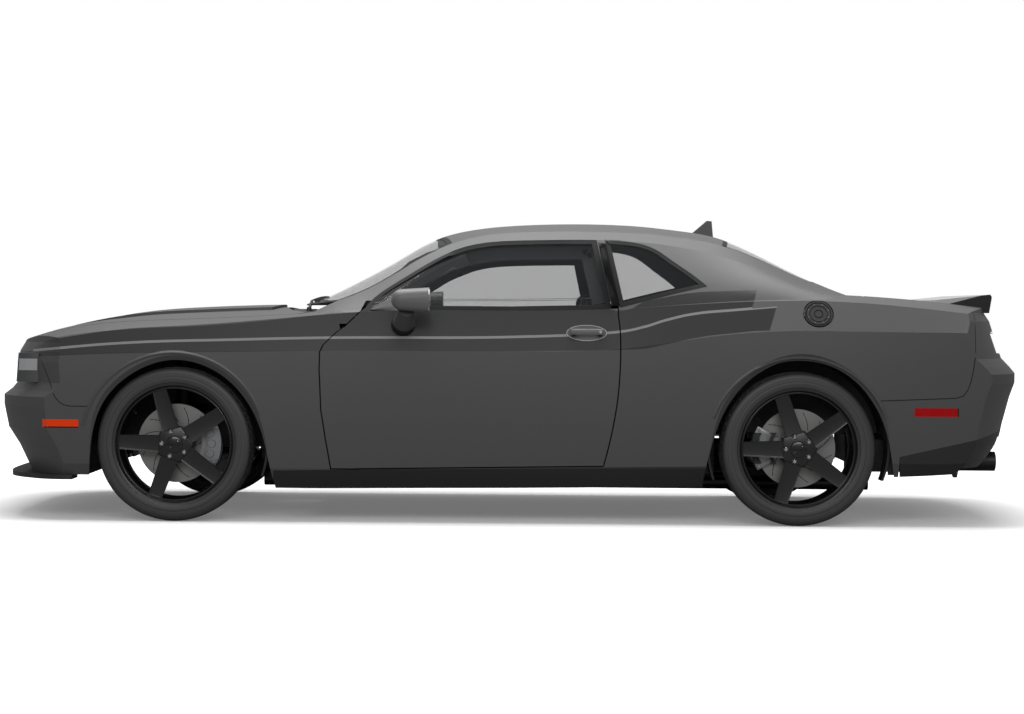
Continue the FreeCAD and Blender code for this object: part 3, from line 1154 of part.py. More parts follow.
def make_rim(label, axle, angle):
    body = doc.addObject("PartDesign::Body", label)
    barrel_inner = cell("rim_seat_radius") - cell("rim_wall")
    revolve(body, label + "_barrel", [
        (RIM_START, barrel_inner), (RIM_END, barrel_inner), (RIM_END, cell("rim_flange_radius")),
        (BEAD_END, cell("rim_flange_radius")), (BEAD_END, cell("rim_seat_radius")),
        (BEAD_START, cell("rim_seat_radius")), (BEAD_START, cell("rim_flange_radius")),
        (RIM_START, cell("rim_flange_radius"))])
    root = cell("spoke_root_width") / 2
    tip = cell("spoke_tip_width") / 2
    reach = barrel_inner + cell("rim_wall") / 2
    sketch = sketch_outline(body, label + "_spoke_outline", "YZ_Plane", [
        (-root, cell("spoke_root_radius")), (root, cell("spoke_root_radius")), (tip, reach), (-tip, reach)])
    bind(sketch, {"AttachmentOffset.Base.z": SPOKE_START})
    spoke = body.newObject("PartDesign::Pad", label + "_spoke")
    spoke.Profile = sketch
    bind(spoke, {"Length": cell("spoke_depth")})
    doc.recompute()
    pattern = body.newObject("PartDesign::PolarPattern", label + "_spokes")
    pattern.Originals = [spoke]
    pattern.Axis = (origin_feature(body, "X_Axis"), [""])
    pattern.Angle = 360
    pattern.Occurrences = 5
    body.Tip = pattern
    doc.recompute()
    revolve(body, label + "_hub", [
        (cell("disc_offset"), SPINDLE_BORE), (SPINDLE_END + cell("joint_gap"), SPINDLE_BORE), (SPINDLE_END + cell("joint_gap"), 0),
        (SPOKE_END, 0), (SPOKE_END, cell("hub_radius")), (DISC_END, cell("hub_radius")),
        (DISC_END, cell("disc_radius")), (cell("disc_offset"), cell("disc_radius"))])
    place_wheel_part(body, axle, float(angle))
    return finish_node(label, body)


for end, axle in (("front", FRONT_AXLE), ("rear", REAR_AXLE)):
    tyre = make_tyre(f"tyre_{end}_left", axle)
    rim = make_rim(f"rim_{end}_left", axle, cell(f"{end}_spoke_angle"))
    finish_node(f"tyre_{end}_right", mirror(f"tyre_{end}_right", tyre))
    finish_node(f"rim_{end}_right", mirror(f"rim_{end}_right", rim))

# Knuckles and rear uprights, each with a spindle and a brake caliper around the disc
DISC_FACE = WHEEL_INNER_Y + cell("disc_offset")
KNUCKLE_OUTER = DISC_FACE - cell("pad_gap") - cell("joint_gap")
KNUCKLE_INNER = KNUCKLE_OUTER - cell("knuckle_width")
CALIPER_MIDDLE = DISC_FACE + cell("disc_thickness") / 2


def caliper(name, axle, direction):
    """A U-shaped block around the disc's edge; direction is +1 behind the axle and -1 ahead of it."""
    low, high = CALIPER_MIDDLE - cell("caliper_width") / 2, CALIPER_MIDDLE + cell("caliper_width") / 2
    ring = cylinder(name + "_ring", cell("caliper_outer_radius"), cell("caliper_width"), axle, -high, TYRE, Y_AXIS)
    hole = cylinder(name + "_hole", cell("caliper_inner_radius"), cell("caliper_width"), axle, -high, TYRE, Y_AXIS)
    near, far = sorted((axle, axle + cell("caliper_outer_radius") * direction), key=float)
    window = box(name + "_window", near, far, -high, -low, TYRE - cell("caliper_length") / 2, TYRE + cell("caliper_length") / 2)
    slot_low = DISC_FACE - cell("pad_gap")
    slot_high = DISC_FACE + cell("disc_thickness") + cell("pad_gap")
    slot = cylinder(name + "_slot", cell("disc_radius") + cell("joint_gap"), slot_high - slot_low, axle, -slot_high, TYRE, Y_AXIS)
    return common(name, cut(name + "_open", ring, [hole, slot]), window)


def upright(name, axle, direction, tall):
    half = cell("knuckle_length") / 2
    block = box(name + "_block", axle - half, axle + half, -KNUCKLE_OUTER, -KNUCKLE_INNER, TYRE - tall / 2, TYRE + tall / 2)
    spindle = cylinder(name + "_spindle", cell("spindle_radius"), cell("spindle_length") + (DISC_FACE - KNUCKLE_OUTER),
                       axle, -(DISC_FACE + cell("spindle_length")), TYRE, Y_AXIS)
    near, far = sorted((axle, axle + cell("caliper_inner_radius") * 1.2 * direction), key=float)
    bracket = box(name + "_bracket", near, far, -KNUCKLE_OUTER, -(CALIPER_MIDDLE - cell("caliper_width") / 2),
                  TYRE - half, TYRE + half)
    return [block, spindle, bracket, caliper(name + "_caliper", axle, direction)]


KNUCKLE_TOP = TYRE + cell("knuckle_height") / 2
KNUCKLE_FOOT = TYRE - cell("knuckle_height") / 2
PIN_REACH = cell("joint_gap") + cell("joint_boss_length")
arm_low = cell("tie_rod_height") + cell("tie_rod_radius") + cell("joint_gap") + cell("pad_gap")
arm_end = FRONT_AXLE + cell("steering_arm_length") + cell("steering_arm_width") / 2
knuckle = fuse("knuckle_left", upright("knuckle", FRONT_AXLE, 1, cell("knuckle_height")) + [
    cylinder("upper_pin", cell("kingpin_radius"), PIN_REACH, FRONT_AXLE, -KINGPIN_Y, KNUCKLE_TOP),
    cylinder("lower_pin", cell("kingpin_radius"), PIN_REACH, FRONT_AXLE, -KINGPIN_Y, KNUCKLE_FOOT - PIN_REACH),
    box("steering_arm", FRONT_AXLE, arm_end, -KINGPIN_Y - cell("steering_arm_width") / 2,
        -KINGPIN_Y + cell("steering_arm_width") / 2, arm_low, arm_low + cell("steering_arm_height"))])
finish_node("knuckle_left", knuckle)
finish_node("knuckle_right", mirror("knuckle_right", knuckle))

# Front subframe: crossmember, rails, wishbones, dampers and the rack's housing
UPPER_BOSS = KNUCKLE_TOP + cell("joint_gap")
LOWER_BOSS = KNUCKLE_FOOT - cell("joint_gap") - cell("joint_boss_length")


def wishbone(name, low, inner_y):
    """A flat triangular arm from two pivots on the chassis to a bored boss on the kingpin axis."""
    boss = cylinder(name + "_boss", cell("joint_boss_radius"), cell("joint_boss_length"), FRONT_AXLE, -KINGPIN_Y, low)
    bore = cylinder(name + "_bore", cell("kingpin_radius") + CLEARANCE, cell("joint_boss_length"), FRONT_AXLE, -KINGPIN_Y, low)
    plate = doc.addObject("Part::Wedge", name + "_plate")
    half = cell("joint_boss_radius") * 0.8
    bind(plate, {"Xmin": -cell("arm_span"), "Xmax": cell("arm_span"), "X2min": -half, "X2max": half,
                 "Ymin": ZERO, "Ymax": KINGPIN_Y - inner_y, "Zmin": ZERO, "Zmax": cell("arm_height"),
                 "Z2min": ZERO, "Z2max": cell("arm_height")})
    plate.Placement = Placement(ORIGIN, Rotation(Y_AXIS, 0))
    return boss, bore, plate


def wishbone_parts(name, low, inner_y):
    boss, bore, plate = wishbone(name, low, inner_y)
    plate.Placement = Placement(ORIGIN, Rotation(X_AXIS, 180))
    bind(plate, {"Placement.Base.x": FRONT_AXLE, "Placement.Base.y": -inner_y, "Placement.Base.z": low + cell("arm_height")})
    return cut(name, fuse(name + "_solid", [boss, plate]), [bore])


damper_foot = LOWER_BOSS + cell("arm_height")
rack_x = FRONT_AXLE + cell("steering_arm_length")
rack_housing = cut("rack_housing", cylinder("rack_tube", cell("rack_radius"), cell("rack_length"), rack_x, -cell("rack_length") / 2,
                                            cell("tie_rod_height"), Y_AXIS),
                   [cylinder("rack_bore", cell("tie_rod_radius") + CLEARANCE, cell("rack_length"), rack_x, -cell("rack_length") / 2,
                             cell("tie_rod_height"), Y_AXIS)])
rack_box_hole = cylinder("rack_box_hole", cell("rack_radius"), cell("rack_length"), rack_x, -cell("rack_length") / 2,
                         cell("tie_rod_height"), Y_AXIS)
front_frame = cut("front_frame", fuse("front_frame_boxes", share_boxes("front_frame_box", FRONT_FRAME_SHARES)), [rack_box_hole])
damper = cylinder("front_damper", cell("damper_radius"), height(TOWER_SHARE) - damper_foot, FRONT_AXLE, -cell("damper_y"), damper_foot)
front_left = [wishbone_parts("lower_wishbone", LOWER_BOSS, cell("arm_inner_y")),
              wishbone_parts("upper_wishbone", UPPER_BOSS, cell("inner_wing_y")), damper]
finish_node("front_subframe", fuse("front_subframe", [front_frame, rack_housing] + both_sides("front_arm", front_left)))

# Rack and tie rods that slide across the car
eye_y = KINGPIN_Y
tie_rod = cylinder("tie_rod", cell("tie_rod_radius"), eye_y * 2, rack_x, -eye_y, cell("tie_rod_height"), Y_AXIS)
eyes = both_sides("tie_rod_eye", [cylinder("tie_rod_eye", cell("tie_rod_radius") * 1.5, cell("tie_rod_radius") * 2, rack_x, -eye_y,
                                           cell("tie_rod_height") - cell("tie_rod_radius"))])
finish_node("steering_rack", fuse("steering_rack", [tie_rod] + eyes))

# Rear axle: subframe, final drive, half shafts, arms, dampers and the fixed uprights
rear_parts = upright("rear_upright", REAR_AXLE, -1, cell("knuckle_height")) + [
    cylinder("half_shaft", cell("half_shaft_radius"), KNUCKLE_INNER, REAR_AXLE, -KNUCKLE_INNER, TYRE, Y_AXIS),
    cylinder("rear_damper", cell("damper_radius"), height(TRUNK_FLOOR_SHARE) - height(REAR_ARM_SHARE), REAR_AXLE, -cell("damper_y"),
             height(REAR_ARM_SHARE))]
finish_node("rear_axle", fuse("rear_axle", share_boxes("rear_frame", REAR_FRAME_SHARES) + both_sides("rear_part", rear_parts)))

# Engine as one block, gearbox and propeller shaft
finish_node("engine_block", share_box("engine_block", ENGINE_SHARES))
gearbox = share_box("gearbox", GEARBOX_SHARES)
prop_shaft = cylinder("prop_shaft", cell("prop_shaft_radius"), along(FINAL_DRIVE_FRONT_SHARE) - along(GEARBOX_SHARES[1]), along(GEARBOX_SHARES[1]), ZERO,
                      cell("prop_shaft_height"), X_AXIS)
finish_node("driveline", fuse("driveline", [gearbox, prop_shaft]))

# Exhaust: two pipes, two silencers and two tips
pipe_start, pipe_end = along(GEARBOX_SHARES[0]) - cell("pipe_radius") * 2, along(SILENCER_SHARES[0]) + cell("pipe_radius") * 2
pipe = cylinder("exhaust_pipe", cell("pipe_radius"), pipe_end - pipe_start, pipe_start, -cell("pipe_y"), cell("pipe_height"), X_AXIS)
riser = cylinder("exhaust_riser", cell("pipe_radius"), height(SILENCER_SHARES[4]) + cell("pipe_radius") - cell("pipe_height"),
                 pipe_end - cell("pipe_radius"), -cell("pipe_y"), cell("pipe_height"))
silencer = share_box("silencer", SILENCER_SHARES)
down_pipe = cylinder("down_pipe", cell("pipe_radius"), height(ENGINE_SHARES[4]) - cell("pipe_height"), pipe_start + cell("pipe_radius"),
                     -cell("pipe_y"), cell("pipe_height"))
tip_length = along(TIP_END_SHARE) - along(SILENCER_SHARES[1])
tip = cut("exhaust_tip", cylinder("tip_outer", cell("tailpipe_radius"), tip_length, along(SILENCER_SHARES[1]), -cell("tailpipe_y"),
                                  cell("tailpipe_height"), X_AXIS),
          [cylinder("tip_bore", cell("tailpipe_radius") - cell("tailpipe_wall"), tip_length, along(SILENCER_SHARES[1]),
                    -cell("tailpipe_y"), cell("tailpipe_height"), X_AXIS)])
finish_node("exhaust", fuse("exhaust", both_sides("exhaust_part", [down_pipe, pipe, riser, silencer, tip])))

# Steering wheel with its column
wheel_tilt = float(cell("steering_wheel_angle"))
column_axis = Vector(-math.cos(math.radians(wheel_tilt)), 0, -math.sin(math.radians(wheel_tilt)))
wheel_x, wheel_y, wheel_z = along(STEERING_WHEEL_SHARES[0]), across(STEERING_WHEEL_SHARES[1]), height(STEERING_WHEEL_SHARES[2])


def on_column(feature, turn=0.0):
    """Lays a feature's Z axis along the steering column at the wheel's centre."""
    feature.Placement = Placement(ORIGIN, Rotation(Y_AXIS, 90 - wheel_tilt + 180) * Rotation(Z_AXIS, turn))
    bind(feature, {"Placement.Base.x": wheel_x, "Placement.Base.y": wheel_y, "Placement.Base.z": wheel_z})
    return feature


ring = doc.addObject("Part::Torus", "steering_ring")
bind(ring, {"Radius1": cell("steering_wheel_radius"), "Radius2": cell("steering_rim_radius")})
on_column(ring)
column = doc.addObject("Part::Cylinder", "steering_column")
bind(column, {"Radius": cell("steering_column_radius"), "Height": cell("steering_column_length")})
on_column(column)
boss = doc.addObject("Part::Cylinder", "steering_boss")
bind(boss, {"Radius": cell("steering_hub_radius"), "Height": cell("steering_rim_radius") * 2})
on_column(boss)
spokes = []
for i, turn in enumerate((0.0, 90.0, 180.0)):
    spoke = doc.addObject("Part::Cylinder", f"steering_spoke_{i}")
    bind(spoke, {"Radius": cell("steering_rim_radius") * 0.8, "Height": cell("steering_wheel_radius")})
    direction = Rotation(Y_AXIS, 90 - wheel_tilt + 180) * Rotation(Z_AXIS, turn + 90) * Rotation(X_AXIS, 90)
    spoke.Placement = Placement(ORIGIN, direction)
    bind(spoke, {"Placement.Base.x": wheel_x, "Placement.Base.y": wheel_y, "Placement.Base.z": wheel_z})
    spokes.append(spoke)
finish_node("steering_wheel", fuse("steering_wheel", [ring, column, boss] + spokes))

# Floor, firewall, trunk floor and bulkheads, trimmed to the inside of the body
floor_plates = joined([share_solid(shares) for shares in with_mirrors(FLOOR_SHARES)])
floor_plates = floor_plates.common(joined([inner_lower, share_solid(CABIN_CORE_SHARES)]))
arch_tubes = joined([Part.makeCylinder(float(radius), float(WIDE - inner), Vector(float(axle), side * float(inner), float(TYRE)), Y_AXIS * side)
                     for axle, radius, inner in ((FRONT_AXLE, cell("front_liner_radius"), cell("inner_wing_y")),
                                                 (REAR_AXLE, cell("rear_liner_radius"), cell("rear_housing_y")))
                     for side in (-1, 1)])
barrel = hinge_barrel(float(GAP))
side_walls = [arch_tubes]
for shape in (barrel, inner_side, post):
    side_walls += [shape, shape.mirror(ORIGIN, Y_AXIS)]
floor_plates = carved(floor_plates, side_walls)
add_shape("floor_pan", joined([floor_plates, hinge_arms, hinge_arms.mirror(ORIGIN, Y_AXIS),
                               hood_bracket, hood_bracket.mirror(ORIGIN, Y_AXIS)]))


def housing(axle, radius, inner_y, closed):
    """The upper half of a wheel housing; a closed one also has a wall on its inner side."""
    start = Vector(float(axle), -float(WIDE), float(TYRE))
    tube = Part.makeCylinder(float(radius), float(WIDE - inner_y), start, Y_AXIS)
    depth = WIDE - inner_y - (cell("liner_wall") if closed else ZERO)
    tube = tube.cut(Part.makeCylinder(float(radius - cell("liner_wall")), float(depth), start, Y_AXIS))
    top = solid_box(-along(1.1), along(1.1), -WIDE, ZERO, height(TRUNK_FLOOR_SHARE if closed else HOUSING_FOOT_SHARE), TALL)
    return tube.common(top).common(inner_lower)


rear_housing = housing(REAR_AXLE, cell("rear_liner_radius"), cell("rear_housing_y"), True)
rear_lip = housing(REAR_AXLE, cell("rear_liner_radius"), cell("rear_housing_y") + OVERRUN * 3, False)
front_housing = housing(FRONT_AXLE, cell("front_liner_radius"), cell("inner_wing_y"), False)
left_liners = joined([rear_housing, rear_lip]), front_housing
liners = [carved(shape, [left_wall.common(share_solid(SIDE_WALL_SHARES)), sill, post]) for shape in left_liners]
add_shape("wheel_liners", Part.makeCompound(liners + [shape.mirror(ORIGIN, Y_AXIS) for shape in liners]))


# Dashboard, seats and console
def side_extrusion(shares, low_share, high_share):
    """A side-view outline given by shares, drawn out between two widths."""
    points = side_points(shares, float(across(low_share)))
    return Part.Face(polygon(points)).extrude(Vector(0, float(across(high_share) - across(low_share)), 0))


column_hole = Part.makeCylinder(float(cell("steering_column_radius") + CLEARANCE), float(cell("steering_column_length") * 2),
                                Vector(float(wheel_x), float(wheel_y), float(wheel_z)), column_axis)
dashboard = side_extrusion(DASHBOARD_SHARES, -0.72, 0.72)
console = side_extrusion(CONSOLE_SHARES, -0.12, 0.12)
add_shape("dashboard", joined([dashboard, console]).cut(column_hole).cut(cabin_skin))


def soften(solid, radius):
    return solid.makeFillet(float(radius), solid.Edges)


seat_parts = []
for side in (-1, 1):
    low, high = sorted((side * SEAT_Y_SHARES[0], side * SEAT_Y_SHARES[1]))
    seat_parts += [soften(side_extrusion(shares, low, high), cell("seat_round")) for shares in (SEAT_CUSHION_SHARES, SEAT_BACK_SHARES)]
    middle = (low + high) / 2
    seat_parts.append(soften(side_extrusion(HEADREST_SHARES, middle - HEADREST_WIDTH_SHARE, middle + HEADREST_WIDTH_SHARE),
                             cell("seat_round") * 0.8))
    seat_parts.append(side_extrusion(SEAT_BASE_SHARES, low + 0.03, high - 0.03))
add_shape("front_seats", Part.makeCompound([joined(seat_parts[:4]), joined(seat_parts[4:])]))
rear_cushion = soften(side_extrusion(REAR_CUSHION_SHARES, -0.62, 0.62), cell("seat_round"))
rear_back = soften(side_extrusion(REAR_BACK_SHARES, -0.61, 0.61), cell("seat_round") * 0.5)
add_shape("rear_seat", joined([rear_cushion, rear_back]))

# Spoiler, mirrors and the fuel lid
spoiler = side_extrusion(SPOILER_SHARES, -SPOILER_WIDTH_SHARE, SPOILER_WIDTH_SHARE).cut(outer_lower)
add_shape("spoiler", spoiler)
head = soften(share_solid(MIRROR_SHARES), cell("mirror_round"))
foot = polygon([Vector(float(along(MIRROR_FOOT_X_SHARES[0])), float(across(sy)), float(height(sz))) for sy, sz in MIRROR_FOOT_SHARES])
foot = Part.Face(foot).extrude(Vector(float(along(MIRROR_FOOT_X_SHARES[1]) - along(MIRROR_FOOT_X_SHARES[0])), 0, 0))
add_pair("mirror", joined([head, foot]).cut(outer_lower))

doc.recompute()
os.makedirs(PARTS_FOLDER, exist_ok=True)
for label, feature in nodes.items():
    shape = feature.Shape
    if shape.isNull() or not shape.isValid() or {"Invalid", "Error"} & set(feature.State):
        raise RuntimeError("no valid shape for " + label)
for label, feature in nodes.items():
    feature.Shape.exportStep(os.path.join(PARTS_FOLDER, label + ".step"))
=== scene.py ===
import math
from contextlib import contextmanager

import bmesh
import bpy
from mathutils import Matrix, Vector
from mathutils.bvhtree import BVHTree


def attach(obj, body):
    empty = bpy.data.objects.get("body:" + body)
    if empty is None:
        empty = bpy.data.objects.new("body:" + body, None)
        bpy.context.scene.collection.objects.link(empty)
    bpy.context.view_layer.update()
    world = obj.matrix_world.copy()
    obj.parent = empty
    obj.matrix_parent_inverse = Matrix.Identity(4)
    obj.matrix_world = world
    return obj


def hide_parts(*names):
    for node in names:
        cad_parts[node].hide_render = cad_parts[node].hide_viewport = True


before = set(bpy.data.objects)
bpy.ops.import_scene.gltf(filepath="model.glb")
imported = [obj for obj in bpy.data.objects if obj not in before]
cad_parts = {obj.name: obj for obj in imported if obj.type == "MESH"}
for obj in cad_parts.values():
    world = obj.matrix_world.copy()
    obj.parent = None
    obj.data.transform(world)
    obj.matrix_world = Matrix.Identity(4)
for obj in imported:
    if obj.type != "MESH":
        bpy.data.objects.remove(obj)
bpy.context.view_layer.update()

MM = 0.001
FRONT_AXLE = -1.575
REAR_AXLE = 1.371
WHEEL_Y = 0.805
TYRE_RADIUS = 0.364


# Materials

def linear(colour):
    """An sRGB hex colour as the linear values that a shader takes."""
    values = [int(colour[i:i + 2], 16) / 255 for i in (1, 3, 5)]
    return tuple(v / 12.92 if v <= 0.04045 else ((v + 0.055) / 1.055) ** 2.4 for v in values) + (1.0,)


def new_material(name):
    """An empty node material."""
    material = bpy.data.materials.new(name)
    material.use_nodes = True
    material.node_tree.nodes.clear()
    return material


def add(material, kind, values=None):
    """Adds a shader node. Each value goes to an input or a property, and an output is joined to its input."""
    node = material.node_tree.nodes.new(kind)
    for name, value in (values or {}).items():
        if isinstance(value, bpy.types.NodeSocket):
            material.node_tree.links.new(value, node.inputs[name])
        elif isinstance(name, int) or name in node.inputs:
            node.inputs[name].default_value = value
        else:
            setattr(node, name, value)
    return node


def maths(material, operation, first, second=0.0):
    """A Math node between two outputs or numbers."""
    return add(material, "ShaderNodeMath", {"operation": operation, 0: first, 1: second}).outputs[0]


def vectors(material, operation, first, second):
    return add(material, "ShaderNodeVectorMath", {"operation": operation, 0: first, 1: second})


def ranged(material, value, low, high, **source):
    """A value from 0 to 1, or from source's span, stretched to run from low to high."""
    span = {"From Min": source.get("first", 0.0), "From Max": source.get("last", 1.0)}
    values = {"Value": value, "To Min": low, "To Max": high, **span}
    return add(material, "ShaderNodeMapRange", values).outputs[0]


MIX_SOCKETS = {"FLOAT": (2, 3, 0), "RGBA": (6, 7, 2)}


def mixed(material, share, first, second, kind="RGBA", blend="MIX"):
    """A mix of two colours or two numbers."""
    low, high, result = MIX_SOCKETS[kind]
    values = {"data_type": kind, "blend_type": blend, 0: share, low: first, high: second}
    return add(material, "ShaderNodeMix", values).outputs[result]


def place(material):
    """Object coordinates in millimetres."""
    source = add(material, "ShaderNodeTexCoord").outputs["Object"]
    return add(material, "ShaderNodeMapping", {"Scale": (1 / MM,) * 3, "Vector": source}).outputs[0]


def noise(material, size_mm, detail=2.0, roughness=0.5, distortion=0.0):
    """Soft noise whose features are about size_mm across."""
    values = {"Scale": 1 / size_mm, "Detail": detail, "Roughness": roughness, "Distortion": distortion}
    return add(material, "ShaderNodeTexNoise", {"Vector": place(material), **values}).outputs[0]


def cells(material, size_mm, randomness):
    """The distance from the edges of cells that are about size_mm across."""
    values = {"feature": "DISTANCE_TO_EDGE", "Scale": 1 / size_mm, "Randomness": randomness}
    return add(material, "ShaderNodeTexVoronoi", {"Vector": place(material), **values}).outputs["Distance"]


def relief(material, height, strength, distance, invert=False):
    """The direction of a face with a bump from a height."""
    values = {"Strength": strength, "Distance": distance, "invert": invert, "Height": height}
    return add(material, "ShaderNodeBump", values).outputs[0]


def toned(material, colour, value, fleck):
    """A colour that grows darker and lighter by the share fleck as a value goes from 0 to 1."""
    tone = ranged(material, value, 1 - fleck, 1 + fleck)
    return mixed(material, 1.0, colour, tone, blend="MULTIPLY")


def finish(material, colour, roughness, normal=None, **more):
    """Joins a Principled shader to the material's output; more holds the values of its other sockets."""
    values = {"Base Color": colour, "Roughness": roughness, "IOR": more.pop("ior", 1.5)}
    values.update({name.replace("_", " ").title(): value for name, value in more.items()})
    if normal:
        values["Normal"] = normal
    return close(material, add(material, "ShaderNodeBsdfPrincipled", values))


def close(material, shader):
    """Joins the last shader to the material's output."""
    add(material, "ShaderNodeOutputMaterial", {"Surface": shader.outputs[0]})
    return material


CLOUD_MM = 240
GLOSS_SPREAD_SHARE = 0.1
GRAIN_DEPTH_SHARE = 0.3


def grained(name, colour, roughness, grain_mm, bump=0.1, fleck=0.12, **more):
    """A plain finish with fine grain: colour and gloss vary a little, and the surface is finely bumped."""
    material = new_material(name)
    grain = noise(material, grain_mm, 3.0, 0.6)
    gloss = ranged(material, noise(material, CLOUD_MM), roughness * (1 - GLOSS_SPREAD_SHARE),
                   roughness * (1 + GLOSS_SPREAD_SHARE))
    bumps = relief(material, grain, bump, grain_mm * MM * GRAIN_DEPTH_SHARE)
    return finish(material, toned(material, linear(colour), grain, fleck), gloss, bumps, **more)


# The side stripes, as places along the car and heights: their upper edge, the thin line, their lower edge
STRIPE_TOP = [(-2.274, 0.807), (-2.095, 0.871), (-1.779, 0.906), (-1.466, 0.923), (-1.107, 0.955),
              (-0.776, 0.997), (-0.5, 1.03), (0.42, 1.03), (0.509, 1.012), (0.637, 1.054), (0.745, 1.078),
              (0.904, 1.103), (1.028, 1.109)]
STRIPE_LINE = [(-2.264, 0.800), (-1.771, 0.843), (-1.304, 0.860), (-0.899, 0.872), (0.052, 0.885),
               (0.508, 0.911), (0.635, 0.936), (0.743, 0.970), (0.901, 1.004), (1.058, 1.019)]
STRIPE_FOOT = [(-2.205, 0.774), (-1.769, 0.793), (-1.302, 0.803), (-0.898, 0.811), (0.052, 0.818),
               (0.509, 0.827), (0.619, 0.832), (0.743, 0.857), (0.901, 0.891), (1.058, 0.911),
               (1.215, 0.924), (1.279, 0.924)]
STRIPE_SPAN = (-2.4, 1.4, 0.7, 1.15)
STRIPE_START, LOWER_BAND_END, UPPER_BAND_END, END_SLANT = -2.27, 1.262, 1.145, 0.35
STRIPE_INNER_Y, LINE_HALF_WIDTH = 0.70, 0.006
CAR_MIDDLE = (0.0, 0.0, 0.55)
LENGTH_SHARE = (0.2, 1.0, 1.0)


def stripe_height(material, along_x, points):
    """The height in metres of one stripe edge at each place along the car, as a curve node's output."""
    low_x, high_x, low_z, high_z = STRIPE_SPAN
    share = ranged(material, along_x, 0.0, 1.0, first=low_x, last=high_x)
    curve = add(material, "ShaderNodeFloatCurve", {"Value": share})
    line = curve.mapping.curves[0]
    shares = [((x - low_x) / (high_x - low_x), (z - low_z) / (high_z - low_z)) for x, z in points]
    line.points[0].location, line.points[1].location = shares[0], shares[-1]
    for spot in shares[1:-1]:
        line.points.new(*spot)
    for point in line.points:
        point.handle_type = "AUTO_CLAMPED"
    curve.mapping.update()
    return ranged(material, curve.outputs[0], low_z, high_z)


def striped_paint(name, colour, stripe_colour, line_colour, trim_colour):
    """Satin enamel with vinyl side stripes: a soft, even sheen; the stripes are darker and smoother."""
    material = new_material(name)
    spot = add(material, "ShaderNodeTexCoord").outputs["Object"]
    x, y, z = add(material, "ShaderNodeSeparateXYZ", {0: spot}).outputs
    offset = maths(material, "SUBTRACT", z, stripe_height(material, x, STRIPE_LINE))
    # both bands end on a slant, the lower one further back
    end = mixed(material, maths(material, "GREATER_THAN", offset), LOWER_BAND_END, UPPER_BAND_END, "FLOAT")
    slanted = maths(material, "SUBTRACT", x, maths(material, "MULTIPLY", offset, END_SLANT))
    band = maths(material, "GREATER_THAN", z, stripe_height(material, x, STRIPE_FOOT))
    for limit in (maths(material, "LESS_THAN", z, stripe_height(material, x, STRIPE_TOP)),
                  maths(material, "GREATER_THAN", maths(material, "ABSOLUTE", y), STRIPE_INNER_Y),
                  maths(material, "LESS_THAN", slanted, end),
                  maths(material, "GREATER_THAN", x, STRIPE_START)):
        band = maths(material, "MULTIPLY", band, limit)
    off_line = maths(material, "GREATER_THAN", maths(material, "ABSOLUTE", offset), LINE_HALF_WIDTH)
    vinyl = maths(material, "MULTIPLY", band, off_line)
    pinstripe = maths(material, "SUBTRACT", band, vinyl)
    base = toned(material, linear(colour), noise(material, 1.2), 0.06)
    base = mixed(material, vinyl, base, linear(stripe_colour))
    base = mixed(material, pinstripe, base, linear(line_colour))
    gloss = mixed(material, vinyl, ranged(material, noise(material, 400), 0.50, 0.56), 0.30, "FLOAT")
    # the faces that point towards the middle of the car are covered with dark trim
    from_middle = vectors(material, "SUBTRACT", spot, CAR_MIDDLE).outputs[0]
    squashed = vectors(material, "MULTIPLY", from_middle, LENGTH_SHARE).outputs[0]
    facing = add(material, "ShaderNodeNewGeometry").outputs["True Normal"]
    outward = vectors(material, "DOT_PRODUCT", squashed, facing).outputs["Value"]
    inner = maths(material, "LESS_THAN", outward)
    return finish(material, mixed(material, inner, base, linear(trim_colour)),
                  mixed(material, inner, gloss, 0.75, "FLOAT"),
                  relief(material, noise(material, 6, 1.0), 0.04, 0.3 * MM))


def see_through(name, colour, alpha, roughness=0.03):
    """Float glass: clear with a light grey tint and a sharp reflection."""
    material = new_material(name)
    base = toned(material, linear(colour), noise(material, 300, 1.0), 0.04)
    return finish(material, base, roughness, alpha=alpha, ior=1.52)


def ribbed_lens(name, colour, glow, pitch_mm):
    """Moulded acrylic lens: glossy, deep coloured, with fine upright optic ribs behind its face."""
    material = new_material(name)
    values = {"Scale": 1 / pitch_mm, "bands_direction": "X", "Distortion": 0.0, "Vector": place(material)}
    wave = add(material, "ShaderNodeTexWave", values).outputs["Fac"]
    shader = add(material, "ShaderNodeBsdfPrincipled", {
        "Base Color": mixed(material, wave, linear(colour), linear(glow)), "Roughness": 0.12, "IOR": 1.49,
        "Specular IOR Level": 0.25, "Normal": relief(material, wave, 0.35, 0.8 * MM)})
    return close(material, shader)


HIGHLIGHT_SLOPE, HIGHLIGHT_HEIGHT, UPWARD_SHARE = 0.267, 0.4917, 0.8


def painted_highlight_top(name, colour, highlight_colour):
    """Gloss black plastic, painted lighter on its upward faces and above a rising line: a painted highlight
    of its lit top.
    """
    material = new_material(name)
    facing = add(material, "ShaderNodeNewGeometry").outputs["True Normal"]
    upward = maths(material, "GREATER_THAN", add(material, "ShaderNodeSeparateXYZ", {0: facing}).outputs[2],
                   UPWARD_SHARE)
    spot = add(material, "ShaderNodeTexCoord").outputs["Object"]
    x, y, z = add(material, "ShaderNodeSeparateXYZ", {0: spot}).outputs
    rise = maths(material, "SUBTRACT", z, maths(material, "MULTIPLY", x, HIGHLIGHT_SLOPE))
    # the upward faces and the part above the rising line are painted lighter: a painted highlight
    highlight_mask = maths(material, "MAXIMUM", upward, maths(material, "GREATER_THAN", rise, HIGHLIGHT_HEIGHT))
    tone_noise = noise(material, 5, 1.0)
    picked = mixed(material, highlight_mask, linear(colour), linear(highlight_colour))
    return finish(material, toned(material, picked, tone_noise, 0.05), 0.25, relief(material, tone_noise, 0.04, 0.3 * MM))


